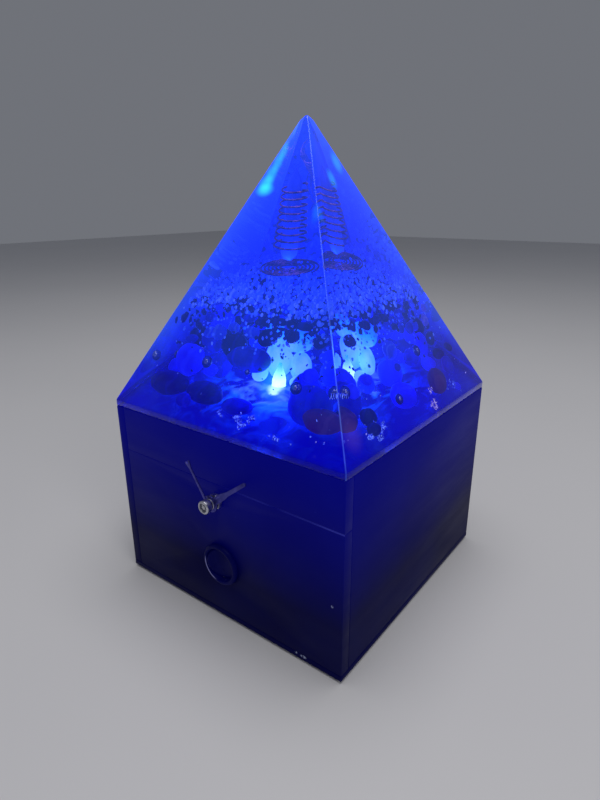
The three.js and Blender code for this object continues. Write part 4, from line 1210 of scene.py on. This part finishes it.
# centre and spread in millimetres, count, size, material
foilClumps = [
    ((64.0, -38.0, 110.5), (5.0, 8.0, 3.0), 16, 2.4, "silverFoil"),
    ((68.0, 14.0, 109.5), (1.4, 3.0, 4.0), 12, 1.5, "pinkFoil"),
    ((65.0, 15.0, 115.0), (1.2, 2.4, 1.6), 6, 1.2, "pinkFoil"),
    ((29.0, -60.0, 106.5), (3.0, 2.0, 1.6), 4, 1.3, "silverFoil"),
    ((6.0, -57.0, 109.0), (16.0, 4.0, 2.0), 14, 1.8, "silverFoil"),
    ((60.0, 45.0, 110.0), (4.0, 6.0, 3.0), 8, 1.6, "silverFoil"),
    ((-30.0, 62.0, 112.0), (14.0, 3.0, 3.0), 14, 1.8, "silverFoil"),
    ((-62.0, 10.0, 112.0), (3.0, 14.0, 3.0), 12, 1.8, "pinkFoil"),
]
foilThickness = 0.05


def makeFoilClumps():
    # crumpled scraps of leaf: small bent sheets
    pick = random.Random(19)
    kinds = {}
    for centre, spread, count, size, kind in foilClumps:
        for _ in range(count):
            place = [c + pick.gauss(0, 0.45) * w for c, w in zip(centre, spread)]
            turns = [pick.uniform(0, 6.28) for _ in range(3)]
            wide = size * pick.uniform(0.4, 1.1) * mm
            kinds.setdefault(kind, []).append((Vector(place) * mm, turns, wide, pick.uniform(0, 40)))
    for kind, scraps in sorted(kinds.items()):
        def build(shape, chosen=scraps):
            for place, turns, size, salt in chosen:
                spin = (Matrix.Rotation(turns[0], 3, "X") @ Matrix.Rotation(turns[1], 3, "Y")
                        @ Matrix.Rotation(turns[2], 3, "Z"))
                grid = bmesh.ops.create_grid(shape, x_segments=5, y_segments=5, size=1.0)["verts"]
                for vertex in grid:
                    u, v = vertex.co.x, vertex.co.y
                    crease = noise.noise(Vector((u * 1.7 + salt, v * 1.7, salt)))
                    ragged = 1 + 0.35 * noise.noise(Vector((u * 2.2, v * 2.2, salt + 9)))
                    vertex.co = spin @ Vector((u * ragged, v * ragged * 0.7, crease * 0.8)) * size + place
            bmesh.ops.solidify(shape, geom=shape.faces[:], thickness=foilThickness * mm)

        mesh = meshFrom(build)
        newPiece("crumpled_" + kind, mesh, kind, "box")


makeFoilClumps()


# rings from the foot up: width, level from 0 to 1, lean
crystalPoint = {
    "radius": 4.9, "turn": 12, "uneven": 0.07, "slant": 0.018, "tip": (0.5, -0.4), "footDrop": 0.2,
    "rings": [(0.86, 0.0, 0.0), (1.0, 0.05, 0.02), (0.88, 0.82, -0.02)],
}


def makeCrystalPoint():
    # six sides, a slightly uneven point, and a broken foot
    low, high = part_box("quartz_point")
    centre = (low + high) / 2

    def build(shape):
        loops = []
        for width, level, lean in crystalPoint["rings"]:
            loop = []
            for i in range(6):
                turn = math.radians(60 * i + crystalPoint["turn"])
                wide = width * (1 + crystalPoint["uneven"] * math.sin(2.3 * i + 5 * lean))
                radius = crystalPoint["radius"] * mm * wide
                z = low.z + (high.z - low.z) * (level + crystalPoint["slant"] * math.cos(1.9 * i))
                loop.append(shape.verts.new((centre.x + radius * math.cos(turn),
                                             centre.y + radius * math.sin(turn), z)))
            loops.append(loop)
        for a, b in zip(loops, loops[1:]):
            for i in range(6):
                shape.faces.new((a[i], a[(i + 1) % 6], b[(i + 1) % 6], b[i]))
        aside, away = crystalPoint["tip"]
        tip = shape.verts.new((centre.x + aside * mm, centre.y + away * mm, high.z))
        foot = shape.verts.new((centre.x, centre.y, low.z - crystalPoint["footDrop"] * mm))
        for i in range(6):
            shape.faces.new((loops[-1][i], loops[-1][(i + 1) % 6], tip))
            shape.faces.new((loops[0][(i + 1) % 6], loops[0][i], foot))

    mesh = bevelled(meshFrom(build), 0.00012, 1, 15)
    newPiece("quartz_point_cut", mesh, "crystal", "box", ("quartz_point",))


makeCrystalPoint()
print("resin and its filling made")


# box, door, clock, switch and lamp

# rounding of each carried-over piece, in millimetres
bevels = {
    "base_plate": 0.35, "wall_left": 0.4, "wall_right": 0.4, "wall_back": 0.4, "front_rail": 0.25,
    "front_panel": 0.25, "rear_door": 0.6, "top_plate": 0.2, "felt_pad": 0.25,
    "hinge_leaf_wall": 0.15, "hinge_leaf_door": 0.15, "hinge_pin": 0.15, "catch_magnet": 0.3,
    "hour_hand": 0.12, "minute_hand": 0.1, "bushing_nut": 0.25, "clock_bushing": 0.12,
    "hour_wheel": 0.04, "minute_arbor": 0.08, "motion_wheel": 0.04, "set_knob": 0.3,
    "movement_case": 0.4, "movement_cover": 0.2, "drive_coil": 0.15, "heatsink": 0.25,
    "led_board": 0.1, "driver_board": 0.2, "battery_tray": 0.4, "switch_pin": 0.1,
    "switch_terminal_1": 0.1, "switch_terminal_2": 0.1, "hand_nut": 0.12,
}
# finishes that differ from the piece's own slot
bevelLook = {
    "hour_hand": "dimSteel", "minute_hand": "dimSteel", "hour_wheel": "dimSteel",
    "minute_arbor": "platedSteel", "clock_bushing": "platedSteel", "hand_nut": "platedSteel",
}


def makeBevelledPieces():
    for node, width in bevels.items():
        refine(node, width * mm, material=bevelLook.get(node))


makeBevelledPieces()

# bright disc that turns with the hour hand: bore, radius, distance in front of the hand, thickness
collet = {"bore": 1.85, "radius": 2.9, "gap": 0.05, "thick": 0.55}


def makeCollet():
    wheelLow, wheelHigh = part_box("hour_wheel")
    centre = (wheelLow + wheelHigh) / 2
    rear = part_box("hour_hand")[0].y / mm - collet["gap"]
    front = rear - collet["thick"]
    profile = [(collet["bore"], rear), (collet["bore"], front), (collet["radius"] - 0.15, front),
               (collet["radius"], front + 0.15), (collet["radius"], rear)]
    mesh = turned([(r * mm, y * mm) for r, y in profile], Vector((centre.x, 0, centre.z)), "y", 48)
    shadeByAngle(mesh, 40)
    newPiece("hour_collet", mesh, "platedSteel", "hour")


makeCollet()


# radii and depths in millimetres
bezel = {"outer": 11.4, "well": 9.2, "barrel": 9.9, "flange": 2.1, "floor": 1.5}


def makeSwitch():
    low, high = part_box("switch_body")
    centre = Vector(((low.x + high.x) / 2, 0, (low.z + high.z) / 2))
    front, rear = low.y / mm, high.y / mm
    outer, well, barrel, flange = (bezel[name] for name in ("outer", "well", "barrel", "flange"))
    floor = rear - bezel["floor"]
    profile = [(0, floor), (well, floor), (well, front + 0.5), (well + 0.15, front + 0.15),
               (well + 0.4, front), (outer - 1.1, front), (outer - 0.4, front + 0.3),
               (outer, front + 1.0), (outer, front + flange - 0.1), (outer - 0.1, front + flange),
               (barrel, front + flange), (barrel, rear - 0.3), (barrel - 0.3, rear), (0, rear)]
    mesh = turned([(r * mm, y * mm) for r, y in profile], centre, "y", 72)
    shadeByAngle(mesh, 40)
    newPiece("switch_bezel", mesh, "switchPlastic", "box", ("switch_body",))
    makeRocker(centre)


# radius in millimetres, turn at rest, depth of the valley and of the rim's drop
rocker = {
    "radius": 8.45, "restTurn": 9, "valley": 1.0, "dish": 2.2, "rim": 0.7, "rimDrop": 0.45,
    "sides": 72, "steps": 12,
}


def makeRocker(centre):
    # a round button with a valley across it; at rest its right half is pressed in
    low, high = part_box("switch_pin")
    pivot = Vector((centre.x, (low.y + high.y) / 2, centre.z))
    tilt = Matrix.Rotation(math.radians(rocker["restTurn"]), 3, "Z")
    radius, sides, steps = rocker["radius"], rocker["sides"], rocker["steps"]

    def surfaceAt(x, r):
        valley = rocker["valley"] + rocker["dish"] * (x / radius) ** 2
        rim = max(0.0, (r - radius + rocker["rim"]) / rocker["rim"])
        return valley - rocker["rimDrop"] * rim ** 2

    def build(shape):
        def corner(x, z, out):
            return shape.verts.new(pivot + tilt @ Vector((x, -out, z)) * mm)

        loops = [[corner(0, 0, surfaceAt(0, 0))]]
        for step in range(1, steps + 1):
            r = radius * (1 - (1 - step / steps) ** 1.5)
            turns = [2 * math.pi * i / sides for i in range(sides)]
            loops.append([corner(r * math.cos(t), r * math.sin(t), surfaceAt(r * math.cos(t), r))
                          for t in turns])
        for inset, out in ((0.0, -0.4), (0.5, -0.7)):
            r = radius - inset
            loops.append([corner(r * math.cos(t), r * math.sin(t), out) for t in turns])
        loops.append([corner(0, 0, -0.7)])
        for a, b in zip(loops, loops[1:]):
            for i in range(sides):
                j = (i + 1) % sides
                corners = [a[i % len(a)], a[j % len(a)], b[j % len(b)], b[i % len(b)]]
                shape.faces.new(list(dict.fromkeys(corners)))

    mesh = meshFrom(build)
    shadeByAngle(mesh, 50)
    newPiece("switch_button", mesh, "switchPlastic", "rocker", ("switch_rocker",))


makeSwitch()


# crimped ends and button of a cell, in millimetres
cellEnds = {"crimp": 0.6, "button": 2.7, "buttonTall": 1.0, "lip": 0.5}


def makeCells():
    crimp, button, tall, lip = (cellEnds[name] * mm for name in ("crimp", "button", "buttonTall", "lip"))
    for node in ("clock_cell", "lamp_cell_1", "lamp_cell_2", "lamp_cell_3"):
        low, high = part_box(node)
        middle = (low + high) / 2
        radius, reach = (high.z - low.z) / 2, (high.x - low.x) / 2
        profile = [(0, -reach), (radius - crimp, -reach), (radius, -reach + lip),
                   (radius, reach - tall - lip), (radius - crimp, reach - tall), (button, reach - tall),
                   (button - 0.1 * mm, reach - 0.1 * mm), (button - 0.4 * mm, reach), (0, reach)]
        mesh = turned(profile, middle, "x", 40)
        shadeByAngle(mesh, 40)
        newPiece(node + "_smooth", mesh, "cellSleeve", bodyOf[node], (node,))


# radius and distance from the door, in millimetres
knobProfile = [(0, 0), (4, 0), (4, 0.4), (3.1, 1), (2.5, 2), (2.9, 3), (4.2, 3.9), (4.6, 4.8), (4.3, 5.8),
               (3, 6.4), (0, 6.6)]


def makeKnob():
    low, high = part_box("door_knob")
    centre = Vector(((low.x + high.x) / 2, low.y, (low.z + high.z) / 2))
    mesh = turned([(r * mm, y * mm) for r, y in knobProfile], centre, "y", 48)
    shadeByAngle(mesh, 50)
    newPiece("door_knob_turned", mesh, "warmBrass", "door", ("door_knob",))


# radii and heights in millimetres
ledDome = {"foot": 3.5, "footHeight": 0.7, "radius": 2.7, "shoulder": 0.8, "steps": 8}


def makeLampLens():
    low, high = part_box("led_lens")
    middle = (low + high) / 2
    tall = high.z - low.z
    foot, radius, shoulder = (ledDome[name] * mm for name in ("foot", "radius", "shoulder"))
    profile = [(0, 0), (foot, 0), (foot, ledDome["footHeight"] * mm)]
    for step in range(ledDome["steps"]):
        turn = math.radians(90 * step / ledDome["steps"])
        profile.append((radius * math.cos(turn), shoulder + (tall - shoulder) * math.sin(turn)))
    profile.append((0, tall))
    mesh = turned(profile, Vector((middle.x, middle.y, low.z)), "z", 40)
    shadeByAngle(mesh, 50)
    newPiece("led_dome", mesh, "lens", "box", ("led_lens",))


makeCells()
makeKnob()
makeLampLens()


def dressRest():
    # what is carried over from the frame unchanged
    for name, node in frame["nodes"].items():
        material = look[slotLook[slotOf[name]]]
        if not node.material_slots:
            node.data.materials.append(material)
        for slot in node.material_slots:
            slot.material = material


dressRest()
print("box, clock, switch and lamp made")


# light and floor

studio = {"sky": (0.8, 0.84, 0.95), "skyStrength": 0.2, "floorSize": 6.0}
# place and aim in metres, size, power, colour, whether glossy pieces mirror it
softLights = {
    "overheadLight": ((0.1, 0.0, 1.3), (0, 0, 0.1), 1.2, 9, (1.0, 0.98, 0.96), True),
    "rightLight": ((1.1, -0.5, 0.7), (0, 0, 0.08), 0.6, 3, (1.0, 0.97, 0.95), False),
}


def addAreaLight(name, place, aim, size, power, colour, mirrored):
    lamp = bpy.data.lights.new(name, "AREA")
    lamp.shape, lamp.size, lamp.energy, lamp.color = "DISK", size, power, colour
    holder = bpy.data.objects.new(name, lamp)
    holder.location = place
    holder.rotation_euler = (Vector(aim) - Vector(place)).to_track_quat("-Z", "Y").to_euler()
    holder.visible_glossy = mirrored
    scene.collection.objects.link(holder)


# place in millimetres, radius, power, colour
lampsInResin = {
    "lampCore": ((-2, -4, 121), 3.0, 0.05, (0.1, 0.5, 1.0)),
    "lampUpper": ((-4, 2, 172), 6.0, 0.03, (0.05, 0.2, 1.0)),
    "lampFront": ((10, -46, 122), 5.0, 0.012, (0.02, 0.06, 1.0)),
    "lampRight": ((54, 10, 122), 5.0, 0.012, (0.02, 0.06, 1.0)),
    "lampRear": ((-6, 52, 122), 5.0, 0.012, (0.02, 0.06, 1.0)),
    "lampLeft": ((-52, 4, 122), 5.0, 0.012, (0.02, 0.06, 1.0)),
}


def addResinLamps():
    for name, (place, radius, power, colour) in lampsInResin.items():
        lamp = bpy.data.lights.new(name, "POINT")
        lamp.shadow_soft_size, lamp.energy, lamp.color = radius * mm, power, colour
        holder = bpy.data.objects.new(name, lamp)
        holder.location = [v * mm for v in place]
        holder.visible_camera = holder.visible_glossy = holder.visible_transmission = False
        scene.collection.objects.link(holder)


def addStudio():
    world = bpy.data.worlds.new("studio")
    world.use_nodes = True
    backdrop = world.node_tree.nodes["Background"]
    backdrop.inputs["Color"].default_value = (*studio["sky"], 1)
    backdrop.inputs["Strength"].default_value = studio["skyStrength"]
    scene.world = world
    side = studio["floorSize"] / 2

    def build(shape):
        corners = ((-side, -side), (side, -side), (side, side), (-side, side))
        shape.faces.new([shape.verts.new((x, y, 0)) for x, y in corners])

    floor = bpy.data.objects.new("floor", meshFrom(build))
    floor.data.materials.append(makeFloor())
    scene.collection.objects.link(floor)
    for name, values in softLights.items():
        addAreaLight(name, *values)
    addResinLamps()
    scene.view_settings.view_transform = "Standard"
    scene.cycles.use_denoising = True
    scene.cycles.caustics_reflective = scene.cycles.caustics_refractive = False
    scene.cycles.max_bounces = 14
    scene.cycles.transmission_bounces = 10
    scene.cycles.sample_clamp_indirect = 4.0


addStudio()
print("studio lit")
